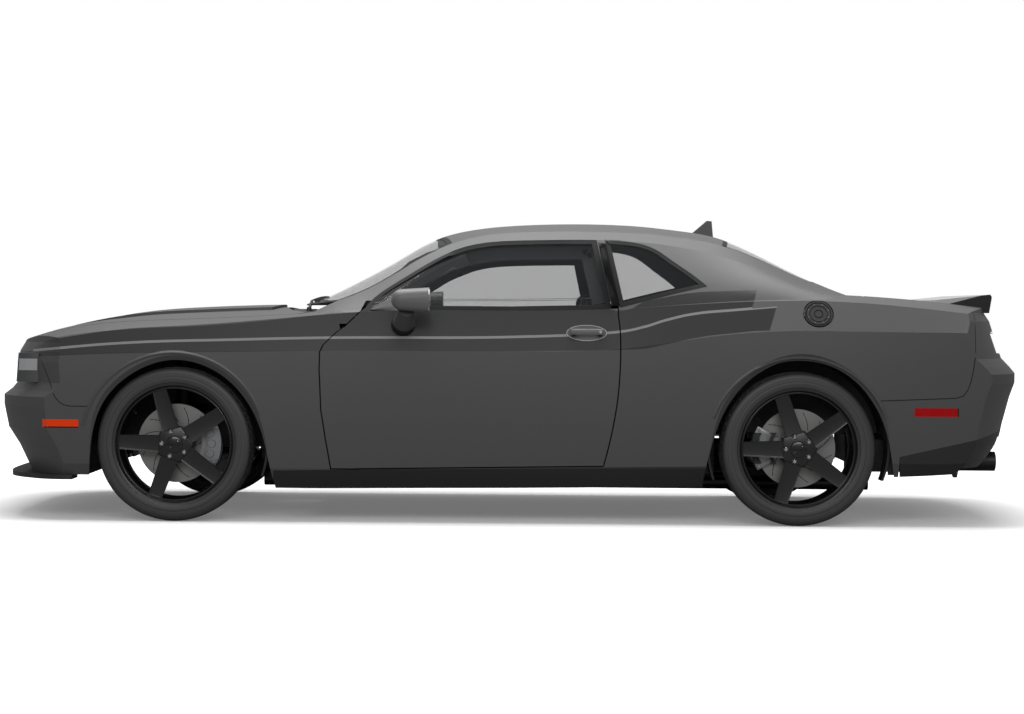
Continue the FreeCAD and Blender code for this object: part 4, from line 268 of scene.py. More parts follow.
def hide(name, colour, dark):
    """Leather: a pebbled grain of small cells, creases and a slight change of tone from wear."""
    material = new_material(name)
    creases = noise(material, 35, 4.0, distortion=1.2)
    height = mixed(material, 0.4, cells(material, 1.6, 0.9), creases, "FLOAT")
    return finish(material, mixed(material, creases, linear(dark), linear(colour)),
                  ranged(material, creases, 0.40, 0.55), relief(material, height, 0.5, 0.6 * MM),
                  ior=1.48, sheen_weight=0.1)


def mesh_weave(name, colour, opening_shade_colour, pitch_mm):
    """Moulded honeycomb grille: black bars, with painted shade in the darker openings between them."""
    material = new_material(name)
    bar = ranged(material, cells(material, pitch_mm, 0.0), 0.0, 1.0, first=0.10, last=0.16)
    return finish(material, mixed(material, bar, linear(colour), linear(opening_shade_colour)), 0.45,
                  relief(material, bar, 0.9, 4.0 * MM, True), ior=1.49)


satin_enamel = striped_paint("satin_enamel_with_vinyl_stripes", "#404041", "#222223", "#6c6c6d", "#151516")
# textured ABS: near black with a dull, fine pebbled skin
black_abs = grained("textured_black_abs", "#101011", 0.55, 1.0, 0.25)
# painted ABS: near black, smooth and a little glossy
gloss_abs = grained("gloss_black_abs", "#0a0a0b", 0.18, 2.0, 0.02)
# vulcanised rubber: very dark grey and dull
tyre_rubber = grained("vulcanised_rubber", "#2c2c2d", 0.50, 1.5, 0.12, ior=1.52)
# extruded EPDM: matt black
seal_rubber = grained("extruded_epdm_rubber", "#060607", 0.75, 1.2, 0.1, ior=1.4)
# powder-coated aluminium: satin black wheels
wheel_coat = grained("satin_black_powder_coat", "#0c0c0d", 0.30, 0.8, 0.03)
# cast iron, turned face: mid grey metal with fine rings
cast_iron = grained("turned_cast_iron", "#7b7b7a", 0.42, 0.8, 0.15, metallic=1.0)
# satin enamel with no stripe, for handles and mirrors
plain_enamel = grained("satin_enamel", "#3f3f40", 0.53, 1.2, 0.03, fleck=0.05)
# silvered glass
mirror_silver = grained("silvered_glass", "#c8cacc", 0.03, 2.0, 0.0, metallic=1.0, fleck=0.02)
# satin light grey: a painted highlight, used on the rim of the handle dish
rim_painted_highlight = grained("satin_grey_painted_highlight", "#8b8c8d", 0.38, 1.2, 0.03, fleck=0.05)
# painted ABS in the body's grey, painted a shade lighter as a painted highlight, for parts that stand out
# into the light
enamel_with_painted_highlight = grained("satin_enamel_painted_highlight", "#575758", 0.45, 1.2, 0.03, fleck=0.05)
# bare stamped aluminium, painted white, for the blank number plate
plate_white = grained("painted_aluminium_plate", "#c9c9c6", 0.35, 2.0, 0.03, fleck=0.04)
# knitted headliner cloth
headliner = grained("knitted_headliner", "#3c3c3d", 0.9, 1.8, 0.5, ior=1.45, fleck=0.2, sheen_weight=0.3)
# anodised aluminium caliper: satin mid grey
caliper_grey = grained("anodised_aluminium", "#7d7e80", 0.38, 1.0, 0.08, metallic=0.5)
# galvanised steel: dull light metal with grain
galvanised = grained("galvanised_steel", "#8f9192", 0.45, 3.0, 0.1, metallic=0.9)
# heat-darkened stainless steel
dark_steel = grained("heat_darkened_stainless_steel", "#3b3a39", 0.42, 3.0, 0.1, metallic=1.0, fleck=0.2)
# stainless steel, polished
stainless = grained("polished_stainless_steel", "#b9babb", 0.16, 2.0, 0.02, metallic=1.0)
# chromed steel
chrome = grained("chromed_steel", "#d9dadb", 0.07, 2.0, 0.0, metallic=1.0, fleck=0.02)
# electro-coated steel: black, satin, for the floor and the frames
primer_steel = grained("electro_coated_steel", "#131314", 0.55, 2.0, 0.1)
# moulded dashboard skin: soft touch, grained
soft_skin = grained("grained_vinyl_skin", "#18181a", 0.58, 1.4, 0.4)
# moulded ABS: black, with a painted highlight on its upward faces and above a rising line
black_abs_with_painted_highlight = painted_highlight_top("gloss_black_abs_with_painted_highlight", "#0a0a0b", "#a4a5a6")
# sewn hide: black, soft sheen, with pores and a few creases
seat_leather = hide("sewn_black_leather", "#1a1a1b", "#0d0d0e")
glass = see_through("grey_float_glass", "#2b2d2f", 0.23)
lamp_clear = see_through("smoked_polycarbonate", "#2a2b2d", 0.45, 0.05)
lamp_grey = ribbed_lens("pale_grey_acrylic_lens", "#7c7d7f", "#a9abad", 9.0)
orange_lens = ribbed_lens("orange_acrylic_lens", "#c92a00", "#ff4606", 7.0)
red_lens = ribbed_lens("red_acrylic_lens", "#7d0003", "#bd0007", 7.0)
# the darker second colour is painted shade in the grille's openings
honeycomb = mesh_weave("black_honeycomb_abs", "#1b1b1c", "#060606", 22.0)

NODE_FINISHES = {
    "floor_pan": primer_steel, "body_side_left": satin_enamel, "body_side_right": satin_enamel,
    "roof_panel": satin_enamel, "fender_left": satin_enamel, "fender_right": satin_enamel,
    "cowl": black_abs, "tulip_panel": satin_enamel, "front_bumper": satin_enamel,
    "front_splitter": black_abs, "grille": honeycomb, "front_lamps": lamp_clear,
    "rear_bumper": satin_enamel, "rear_valance": black_abs, "rear_lamps": red_lens, "fixed_glass": glass,
    "sill_covers": black_abs, "wheel_liners": black_abs, "dashboard": soft_skin, "front_seats": soft_skin,
    "rear_seat": soft_skin, "engine_block": cast_iron, "driveline": primer_steel, "exhaust": dark_steel,
    "front_subframe": primer_steel, "rear_axle": primer_steel, "hood": satin_enamel,
    "decklid": satin_enamel, "spoiler": black_abs_with_painted_highlight, "door_left": satin_enamel,
    "door_right": satin_enamel, "door_glass_left": glass, "door_glass_right": glass,
    "mirror_left": satin_enamel, "mirror_right": satin_enamel, "fuel_door": black_abs,
    "steering_wheel": soft_skin, "steering_rack": galvanised, "knuckle_left": caliper_grey,
    "knuckle_right": caliper_grey, "front_markers": orange_lens, "rear_markers": red_lens,
}
for name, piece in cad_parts.items():
    kind_finish = {"rim": wheel_coat, "tyre": tyre_rubber}.get(name.split("_")[0], primer_steel)
    for slot in piece.material_slots:
        slot.material = NODE_FINISHES.get(name, kind_finish)


# Modelling helpers

SIDES = (("left", -1), ("right", 1))
WELD = 0.00002
FULL_TURN = 2 * math.pi


def new_piece(name, shape, finish, body, sharp=32.0, replaces=()):
    """A finished mesh as an object that rides on a body, with the given finish as its material."""
    bmesh.ops.remove_doubles(shape, verts=shape.verts, dist=WELD)
    bmesh.ops.recalc_face_normals(shape, faces=shape.faces)
    for face in shape.faces:
        face.smooth = True
    for edge in shape.edges:
        edge.smooth = len(edge.link_faces) == 2 and edge.calc_face_angle(0.0) < math.radians(sharp)
    mesh = bpy.data.meshes.new(name)
    shape.to_mesh(mesh)
    shape.free()
    mesh.materials.append(finish)
    piece = bpy.data.objects.new(name, mesh)
    bpy.context.scene.collection.objects.link(piece)
    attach(piece, body)
    if replaces:
        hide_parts(*replaces)
    return piece


@contextmanager
def modelled(name, finish, body, slot, sharp=32.0, replaces=()):
    """A new shape, modelled in the lines of its with block, which then becomes a piece."""
    shape = bmesh.new()
    yield shape
    new_piece(name, shape, finish, body, sharp, replaces)


def round_edges(shape, edges, offset, segments=2):
    return bmesh.ops.bevel(shape, geom=list(edges), offset=offset, segments=segments, affect="EDGES",
                           profile=0.5, material=-1)


def edges_at(verts):
    return {edge for vert in verts for edge in vert.link_edges}


def lathe(shape, profile, centre, steps, angle=FULL_TURN, start=0.0):
    """Turns a profile of (offset along the axle, radius) points about an axle along Y."""
    spots = [Vector((radius * math.sin(start), offset, radius * math.cos(start))) + Vector(centre)
             for offset, radius in profile]
    spin(shape, spots, centre, (0, 1, 0), angle, steps)


def turned(shape, profile, centre, steps, forward=-1):
    """Turns a profile of (distance forward, radius) points about a line along the car."""
    spots = [Vector(centre) + Vector((forward * depth, radius, 0)) for depth, radius in profile]
    spin(shape, spots, centre, (1, 0, 0), FULL_TURN, steps)


def spin(shape, spots, centre, axis, angle, steps):
    """Turns a line of points about an axis, all the way around or through a part of a turn."""
    verts = [shape.verts.new(spot) for spot in spots]
    edges = [shape.edges.new(pair) for pair in zip(verts, verts[1:])]
    bmesh.ops.spin(shape, geom=verts + edges, cent=centre, axis=axis, angle=angle, steps=steps,
                   use_merge=angle == FULL_TURN, use_duplicate=False)


def block(shape, low, high, bevel=0.0, segments=2):
    """A box between two corners with bevelled edges."""
    made = bmesh.ops.create_cube(shape, size=1.0)
    bmesh.ops.scale(shape, vec=Vector(high) - Vector(low), verts=made["verts"])
    bmesh.ops.translate(shape, vec=(Vector(high) + Vector(low)) / 2, verts=made["verts"])
    if bevel:
        made = round_edges(shape, edges_at(made["verts"]), bevel, segments)
    return made["verts"]


def rod(shape, start, end, radius, steps=16, tip=None):
    """A round bar from one point to another, tapered where tip gives a second radius."""
    start, end = Vector(start), Vector(end)
    turn = (end - start).to_track_quat("Z", "Y").to_matrix().to_4x4()
    matrix = Matrix.Translation((start + end) / 2) @ turn
    bmesh.ops.create_cone(shape, cap_ends=True, segments=steps, radius1=radius,
                          radius2=radius if tip is None else tip, depth=(end - start).length, matrix=matrix)


# Tyres: points of a profile are (distance from the wheel's middle plane, radius)

SIDEWALL = [(0.104, 0.278), (0.115, 0.281), (0.1185, 0.2875), (0.1215, 0.2905), (0.1245, 0.2925),
            (0.1262, 0.300), (0.1268, 0.312), (0.1265, 0.3165), (0.1259, 0.3175), (0.1266, 0.3185),
            (0.1268, 0.330), (0.1262, 0.3345), (0.1254, 0.3355), (0.1258, 0.3365), (0.1240, 0.345),
            (0.1205, 0.3525), (0.1150, 0.3580), (0.1080, 0.3612)]
GROOVED_TREAD = [(0.098, 0.3624), (0.086, 0.3630), (0.0715, 0.3634), (0.0695, 0.3570), (0.0625, 0.3570),
                 (0.0605, 0.3636), (0.045, 0.3638), (0.0295, 0.3639), (0.0275, 0.3575), (0.0205, 0.3575),
                 (0.0185, 0.3640), (0.0, 0.3640)]
TREAD_STEPS = 300
TREAD_FOOT_RADIUS = 0.3605
SIPE_DEPTH = 0.0045
SIPE_PITCH = 6
SHOULDER_FROM, SHOULDER_SPLIT = 0.0715, 0.092
BLOCKS_FROM, BLOCKS_SPLIT, BLOCKS_TO = 0.0295, 0.045, 0.0605


def has_sipe(across, turn):
    """Whether the tread is cut at this distance from its middle and this step around the tyre."""
    if across > SHOULDER_FROM:
        return turn % SIPE_PITCH == (0 if across > SHOULDER_SPLIT else 1)
    return BLOCKS_FROM < across < BLOCKS_TO and turn % SIPE_PITCH == (3 if across > BLOCKS_SPLIT else 4)


def tyre(name, body, axle, side):
    """A tyre: sidewalls with moulded rings, and a crowned tread with four grooves and cuts across it."""
    shape = bmesh.new()
    centre = Vector((axle, side * WHEEL_Y, TYRE_RADIUS))
    outer = SIDEWALL + GROOVED_TREAD
    lathe(shape, [(-y, r) for y, r in outer] + [(y, r) for y, r in reversed(outer[:-1])], centre, TREAD_STEPS)
    bmesh.ops.remove_doubles(shape, verts=shape.verts, dist=WELD)
    bmesh.ops.recalc_face_normals(shape, faces=shape.faces)
    cuts = []
    for face in shape.faces:
        spot = face.calc_center_median() - centre
        outward = Vector((spot.x, 0, spot.z)).normalized()
        if math.hypot(spot.x, spot.z) < TREAD_FOOT_RADIUS or face.normal.dot(outward) < 0.9:
            continue
        turn = int((math.atan2(spot.x, spot.z) % FULL_TURN) / (FULL_TURN / TREAD_STEPS))
        if has_sipe(abs(spot.y), turn):
            cuts.append(face)
    for face in bmesh.ops.extrude_discrete_faces(shape, faces=cuts)["faces"]:
        spot = face.calc_center_median() - centre
        inward = Vector((-spot.x, 0, -spot.z)).normalized() * SIPE_DEPTH
        for vert in face.verts:
            vert.co += inward
    new_piece(name, shape, tyre_rubber, body, 28.0, (name.replace("_cover", ""),))


# Rims and brakes are modelled about the axle's middle and then moved to their wheel

RIM_BARREL = [(-0.112, 0.2760), (-0.116, 0.2875), (-0.112, 0.2880), (-0.105, 0.2790), (-0.060, 0.2730),
              (0.060, 0.2725), (0.098, 0.2790), (0.110, 0.2880), (0.1155, 0.2880), (0.1165, 0.2850),
              (0.1130, 0.2770), (0.1050, 0.2735), (0.1015, 0.2700), (0.1030, 0.2665), (0.1010, 0.2625),
              (0.0900, 0.2590),
              (0.0600, 0.2560), (0.0, 0.2540), (-0.060, 0.2550), (-0.100, 0.2640), (-0.112, 0.2760)]
SPOKES, SPOKE_TURN = 5, 72
SPOKE_PHASE = {"front": -16, "rear": -18}
SPOKE_FACE, SPOKE_BACK = 0.100, 0.064
SPOKE_TIP, SPOKE_ROOT = 0.266, 0.046
TIP_HALF_WIDTH, ROOT_HALF_WIDTH, BACK_WIDTH_SHARE = 0.034, 0.043, 0.72
ROOT_FACE_RISE, TIP_BACK_RISE, ROOT_BACK_DROP = 0.003, 0.012, 0.014
SUNK_BORDER, SUNK_DEPTH, SUNK_BEVEL = 0.0075, 0.0035, 0.0022
HUB_RADIUS, HUB_FACE_RADIUS, HUB_DEPTH, HUB_MIDDLE, HUB_BEVEL = 0.099, 0.093, 0.060, 0.0735, 0.010
DISC_INNER, DISC_OUTER = 0.7836 - WHEEL_Y, 0.8124 - WHEEL_Y
DISC_BORE, DISC_GAP_RADIUS, DISC_RADIUS, DISC_PLATE = 0.0802, 0.176, 0.1865, 0.010
SLOT_ROWS, SLOT_BLOCKS, SLOT_START, SLOT_STEP, SLOT_SWEEP, SLOT_LEAN = 12, 5, 0.108, 0.0145, 4.5, 38
SLOT_HALF = Vector((0.0016, 0.0004, 0.0085))
NUT_CIRCLE, NUT_FACE, NUT_FOOT, NUT_TOP = 0.060, 0.102, 0.004, 0.006
NUT_RADIUS, NUT_TOP_RADIUS, NUT_CROWN, NUT_CROWN_RADIUS, NUT_CROWN_TOP = 0.0125, 0.0118, 0.005, 0.0108, 0.0070
SEAT_RISE, SEAT_RADIUS, SEAT_TOP_RADIUS = 0.0052, 0.0185, 0.0178
VALVE_TURN, VALVE_RADIUS, VALVE_Y = 36, 0.252, 0.070
VALVE_LEAN, VALVE_LENGTH, VALVE_HALF = 0.020, 0.024, 0.0055
CAP_Y = 0.1035
CAP_PROFILE = [(0.0, 0.0410), (0.0030, 0.0400), (0.0045, 0.0375), (0.0028, 0.0345), (0.0050, 0.0260),
               (0.0062, 0.0004)]
CAP_BAR_LOW, CAP_BAR_HIGH, CAP_BAR_BEVEL = (-0.0030, 0.0, -0.024), (0.0030, 0.0022, 0.024), 0.0008
CAP_BAR_Y, CAP_BAR_TURN = 0.0052, 52
CALIPER_TURN = {"front": 90, "rear": 270}
CALIPER_HALF_DEPTH, CALIPER_LOW, CALIPER_HIGH = 0.0400, 0.119, 0.2135
CALIPER_HALF_ANGLE, CALIPER_STEPS = 30, 14
CALIPER_DISC_Y, DISC_SLIT, SLIT_TOP = -0.007, 0.020, 0.191
CALIPER_SHARES = [(-0.92, 0.0), (-1.0, 0.5), (-0.85, 1.0), (0.85, 1.0), (1.0, 0.5), (0.92, 0.0)]
CALIPER_BEVEL = 0.004
BOSS_SHARES, BOSS_SUNK, BOSS_RISE, BOSS_RADIUS, BOSS_TOP = (-0.55, 0.0, 0.55), 0.004, 0.008, 0.021, 0.018
BOLT_SHARES, BOLT_DROP, BOLT_DEPTH_SHARE, BOLT_RISE, BOLT_RADIUS = (-0.86, 0.86), 0.014, 0.8, 0.012, 0.008


def polar(angle, radius, y):
    """A point on a wheel about the origin: angle in degrees from straight up towards the tail."""
    return Vector((radius * math.sin(math.radians(angle)), y, radius * math.cos(math.radians(angle))))


def moved(shape, centre):
    bmesh.ops.translate(shape, vec=centre, verts=shape.verts)


def turned_y(degrees):
    return Matrix.Rotation(math.radians(degrees), 4, "Y")


def spoke(shape, side, angle):
    """One spoke with a narrower back and a bevelled, sunk face."""
    verts = bmesh.ops.create_cube(shape, size=1.0)["verts"]
    for vert in verts:
        outer, front, wing = vert.co.z > 0, vert.co.y * side > 0, math.copysign(1, vert.co.x)
        width = (TIP_HALF_WIDTH if outer else ROOT_HALF_WIDTH) * (1.0 if front else BACK_WIDTH_SHARE)
        if front:
            depth = SPOKE_FACE if outer else SPOKE_FACE + ROOT_FACE_RISE
        else:
            depth = SPOKE_BACK + TIP_BACK_RISE if outer else SPOKE_BACK - ROOT_BACK_DROP
        vert.co = turned_y(angle) @ Vector((wing * width, side * depth, SPOKE_TIP if outer else SPOKE_ROOT))
    faces = {face for vert in verts for face in vert.link_faces}
    front_face = max(faces, key=lambda face: side * face.calc_center_median().y)
    border = bmesh.ops.inset_region(shape, faces=[front_face], thickness=SUNK_BORDER)["faces"]
    bmesh.ops.translate(shape, vec=(0, -side * SUNK_DEPTH, 0), verts=front_face.verts)
    round_edges(shape, {edge for face in border for edge in face.edges}, SUNK_BEVEL)


def rim(end, side_name, centre, side, phase):
    """A wheel: the barrel with a double lip, five spokes and a five-cornered hub."""
    with modelled(f"rim_{end}_{side_name}_cast", wheel_coat, f"wheel_{end}_{side_name}", "rim_black", 30.0,
                  (f"rim_{end}_{side_name}",)) as shape:
        lathe(shape, [(side * y, radius) for y, radius in RIM_BARREL], (0, 0, 0), 144)
        for number in range(SPOKES):
            spoke(shape, side, phase + SPOKE_TURN * number)
        stand = (turned_y(phase + SPOKE_TURN / 2) @ Matrix.Translation((0, side * HUB_MIDDLE, 0))
                 @ Matrix.Rotation(math.radians(-90 * side), 4, "X"))
        hub = bmesh.ops.create_cone(shape, cap_ends=True, segments=SPOKES, radius1=HUB_RADIUS,
                                    radius2=HUB_FACE_RADIUS, depth=HUB_DEPTH, matrix=stand)["verts"]
        round_edges(shape, edges_at(hub), HUB_BEVEL, 3)
        moved(shape, centre)


def brake_disc(wheel, body, centre, side):
    """A vented disc, with curved slots shown as painted shade: short chains of thin dark blocks."""
    inner, outer = side * DISC_INNER, side * DISC_OUTER
    plate = side * DISC_PLATE
    with modelled(f"brake_disc_{wheel}", cast_iron, body, "steel") as shape:
        lathe(shape, [(outer, DISC_BORE), (outer, DISC_RADIUS), (outer - plate, DISC_RADIUS),
                      (outer - plate, DISC_GAP_RADIUS), (inner + plate, DISC_GAP_RADIUS),
                      (inner + plate, DISC_RADIUS), (inner, DISC_RADIUS), (inner, DISC_BORE)], (0, 0, 0), 96)
        moved(shape, centre)
    # the slots are thin dark blocks on the disc face: painted shade of the grooves, in the dark rubber finish
    with modelled(f"disc_slot_shades_{wheel}", seal_rubber, body, "steel") as shape:
        for row in range(SLOT_ROWS):
            for reach in range(SLOT_BLOCKS):
                angle = 360 / SLOT_ROWS * row + side * SLOT_SWEEP * reach
                spot = polar(angle, SLOT_START + SLOT_STEP * reach, outer + side * SLOT_HALF.y / 2)
                slot = block(shape, -SLOT_HALF, SLOT_HALF)
                lean = Matrix.Translation(spot) @ turned_y(angle + side * SLOT_LEAN)
                bmesh.ops.transform(shape, matrix=lean, verts=slot)
        moved(shape, centre)


def wheel_fittings(end, side_name, centre, side, phase):
    """Brake disc, wheel nuts, centre cap and valve of one wheel."""
    wheel, body = f"{end}_{side_name}", f"wheel_{end}_{side_name}"
    brake_disc(wheel, body, centre, side)
    nuts, seats = bmesh.new(), bmesh.new()
    for number in range(SPOKES):
        angle = phase + SPOKE_TURN * number
        foot = polar(angle, NUT_CIRCLE, side * (NUT_FACE - NUT_FOOT))
        top = polar(angle, NUT_CIRCLE, side * (NUT_FACE + NUT_TOP))
        rod(nuts, foot, top, NUT_RADIUS, 6, NUT_TOP_RADIUS)
        rod(nuts, top, top + Vector((0, side * NUT_CROWN, 0)), NUT_CROWN_RADIUS, 16, NUT_CROWN_TOP)
        # a dark gloss ring around each nut: painted shade of its pocket
        rod(seats, foot, foot + Vector((0, side * SEAT_RISE, 0)), SEAT_RADIUS, 24, SEAT_TOP_RADIUS)
    for shape in (nuts, seats):
        moved(shape, centre)
    new_piece(f"wheel_nuts_{wheel}", nuts, chrome, body)
    with modelled(f"valve_{wheel}", seal_rubber, body, "steel") as shape:
        valve = phase - VALVE_TURN
        foot = polar(valve, VALVE_RADIUS, side * VALVE_Y)
        rod(shape, foot, foot + polar(valve, -VALVE_LEAN, side * VALVE_LENGTH), VALVE_HALF, 10)
        moved(shape, centre)
    new_piece(f"nut_pocket_shades_{wheel}", seats, gloss_abs, body)
    with modelled(f"centre_cap_{wheel}", gloss_abs, body, "gloss_black") as shape:
        lathe(shape, [(side * (CAP_Y + lift), radius) for lift, radius in CAP_PROFILE], (0, 0, 0), 48)
        moved(shape, centre)
    with modelled(f"cap_bar_{wheel}", chrome, body, "steel") as shape:
        # a plain slanted bar across the cap
        bar = block(shape, CAP_BAR_LOW, CAP_BAR_HIGH, CAP_BAR_BEVEL)
        lean = Matrix.Translation((0, side * (CAP_Y + CAP_BAR_Y), 0)) @ turned_y(CAP_BAR_TURN)
        bmesh.ops.transform(shape, matrix=lean, verts=bar)
        moved(shape, centre)


def caliper(end, side_name, centre, side):
    """A brake caliper: a bridge around the disc's rim, with piston bosses and bolts."""
    turn, disc_y = CALIPER_TURN[end], side * CALIPER_DISC_Y
    outline = [(disc_y + CALIPER_HALF_DEPTH * across, CALIPER_LOW + (CALIPER_HIGH - CALIPER_LOW) * up)
               for across, up in CALIPER_SHARES]
    outline += [(disc_y + DISC_SLIT, CALIPER_LOW), (disc_y + DISC_SLIT, SLIT_TOP),
                (disc_y - DISC_SLIT, SLIT_TOP), (disc_y - DISC_SLIT, CALIPER_LOW)]
    body = f"knuckle_{side_name}" if end == "front" else "body"
    with modelled(f"caliper_{end}_{side_name}", caliper_grey, body, "steel", 30.0) as shape:
        lathe(shape, outline + outline[:1], (0, 0, 0), CALIPER_STEPS, math.radians(2 * CALIPER_HALF_ANGLE),
              math.radians(turn - CALIPER_HALF_ANGLE))
        bmesh.ops.remove_doubles(shape, verts=shape.verts, dist=WELD)
        open_edges = [edge for edge in shape.edges if len(edge.link_faces) == 1]
        bmesh.ops.holes_fill(shape, edges=open_edges, sides=0)
        bmesh.ops.recalc_face_normals(shape, faces=shape.faces)
        round_edges(shape, [edge for edge in shape.edges if len(edge.link_faces) == 2
                            and edge.calc_face_angle(0.0) > math.radians(30)], CALIPER_BEVEL)
        for share in BOSS_SHARES:
            spot = polar(turn + CALIPER_HALF_ANGLE * share, (CALIPER_LOW + CALIPER_HIGH) / 2,
                         disc_y + side * (CALIPER_HALF_DEPTH - BOSS_SUNK))
            rod(shape, spot, spot + Vector((0, side * BOSS_RISE, 0)), BOSS_RADIUS, 32, BOSS_TOP)
        for share in BOLT_SHARES:
            spot = polar(turn + CALIPER_HALF_ANGLE * share, CALIPER_HIGH - BOLT_DROP,
                         disc_y + side * CALIPER_HALF_DEPTH * BOLT_DEPTH_SHARE)
            rod(shape, spot, spot + Vector((0, side * BOLT_RISE, 0)), BOLT_RADIUS, 6)
        moved(shape, centre)


for end, axle in (("front", FRONT_AXLE), ("rear", REAR_AXLE)):
    for side_name, side in SIDES:
        middle = Vector((axle, side * WHEEL_Y, TYRE_RADIUS))
        tyre(f"tyre_{end}_{side_name}_cover", f"wheel_{end}_{side_name}", axle, side)
        rim(end, side_name, middle, side, SPOKE_PHASE[end])
        wheel_fittings(end, side_name, middle, side, SPOKE_PHASE[end])
        caliper(end, side_name, middle, side)


# Seats: padded forms made by simulation, then sewn channels

def hexahedron(shape, span_x, span_z, span_y, lean=0.0, taper=0.0, bevel=0.03):
    """A block with rounded edges whose top is set back by lean, and narrowed by taper on each side."""
    verts = block(shape, (span_x[0], min(span_y), span_z[0]), (span_x[1], max(span_y), span_z[1]))
    middle = sum(span_y) / 2
    for vert in verts:
        if vert.co.z > sum(span_z) / 2:
            vert.co.x += lean
            vert.co.y += math.copysign(taper, middle - vert.co.y)
    round_edges(shape, edges_at(verts), bevel, 3)


def set_points(mesh, points):
    mesh.vertices.foreach_set("co", [value for point in points for value in point])
    mesh.update()


def baked(piece):
    """The piece's points with its modifiers, as a mesh of its own."""
    seen = bpy.context.evaluated_depsgraph_get()
    return bpy.data.meshes.new_from_object(piece.evaluated_get(seen))


def use_mesh(piece, mesh):
    piece.modifiers.clear()
    piece.data = mesh


CLOTH_STEPS, AIR_PRESSURE, PAD_FILL = 20, 4.0, 0.8


def puffed(name, shape, voxel, cap, replaces=()):
    """A hide pad: the rough shape is remeshed evenly, blown up a little by cloth pressure and subdivided."""
    piece = new_piece(name, shape, seat_leather, "body", 60.0, replaces)
    remesh = piece.modifiers.new("even_mesh", "REMESH")
    remesh.mode = "VOXEL"
    remesh.voxel_size = voxel
    use_mesh(piece, baked(piece))
    flat = [vert.co.copy() for vert in piece.data.vertices]
    cloth = piece.modifiers.new("air_pressure", "CLOTH")
    cloth.settings.use_pressure = True
    cloth.settings.uniform_pressure_force = AIR_PRESSURE
    cloth.settings.effector_weights.gravity = 0.0
    for step in range(1, CLOTH_STEPS + 1):
        bpy.context.scene.frame_set(step)
    blown = baked(piece)
    points = []
    for rest, vert in zip(flat, blown.vertices):
        move = vert.co - rest
        points.append(rest + move * min(1.0, cap / max(move.length, 0.0001)))
    set_points(blown, points)
    use_mesh(piece, blown)
    bpy.context.scene.frame_set(1)
    finer = piece.modifiers.new("finer", "SUBSURF")
    finer.levels = finer.render_levels = 1
    use_mesh(piece, baked(piece))
    piece.data.materials.clear()
    piece.data.materials.append(seat_leather)
    for face in piece.data.polygons:
        face.use_smooth = True
    return piece


SEAM_DEPTH = SEAM_REACH = 0.006


def sewn(piece, middle, half, places=(), panel=0.0, axis=0):
    """Presses seams into a pad: one on each side of its centre panel, and one across it at each place."""
    def seams(spot):
        yield abs(abs(spot.y - middle) - half)
        for at in places:
            yield abs(spot[axis] - at) + max(0.0, abs(spot.y - middle) - panel) * 4

    points = []
    for vert in piece.data.vertices:
        press = max(math.exp(-(distance / SEAM_REACH) ** 2) for distance in seams(vert.co))
        points.append(vert.co - vert.normal * SEAM_DEPTH * press)
    set_points(piece.data, points)


SEAT_MIDDLE, SEAT_HALF, PANEL_HALF, PANEL_LAP, SEAM_OUT, BOLSTER_IN = 0.406, 0.228, 0.135, 0.02, 0.006, 0.012
CUSHION_SEAMS, BACK_SEAMS = (-0.23, -0.14, -0.05, 0.04), (0.50, 0.58, 0.66, 0.74, 0.82)
RESTRAINT_HALF, RESTRAINT_SEAM, POST_REACH, POST_RADIUS = 0.088, 0.070, 0.045, 0.006
BASE_IN, RUNNER_IN, RUNNER_HALF, RUNNER_FOOT, BASE_FOOT = 0.035, 0.05, 0.018, 0.2075, 0.232
COVER_IN = COVER_HALF = 0.004
VOXEL, FINE_VOXEL = 0.010, 0.008


def spread_of(middle, half):
    return middle - half, middle + half


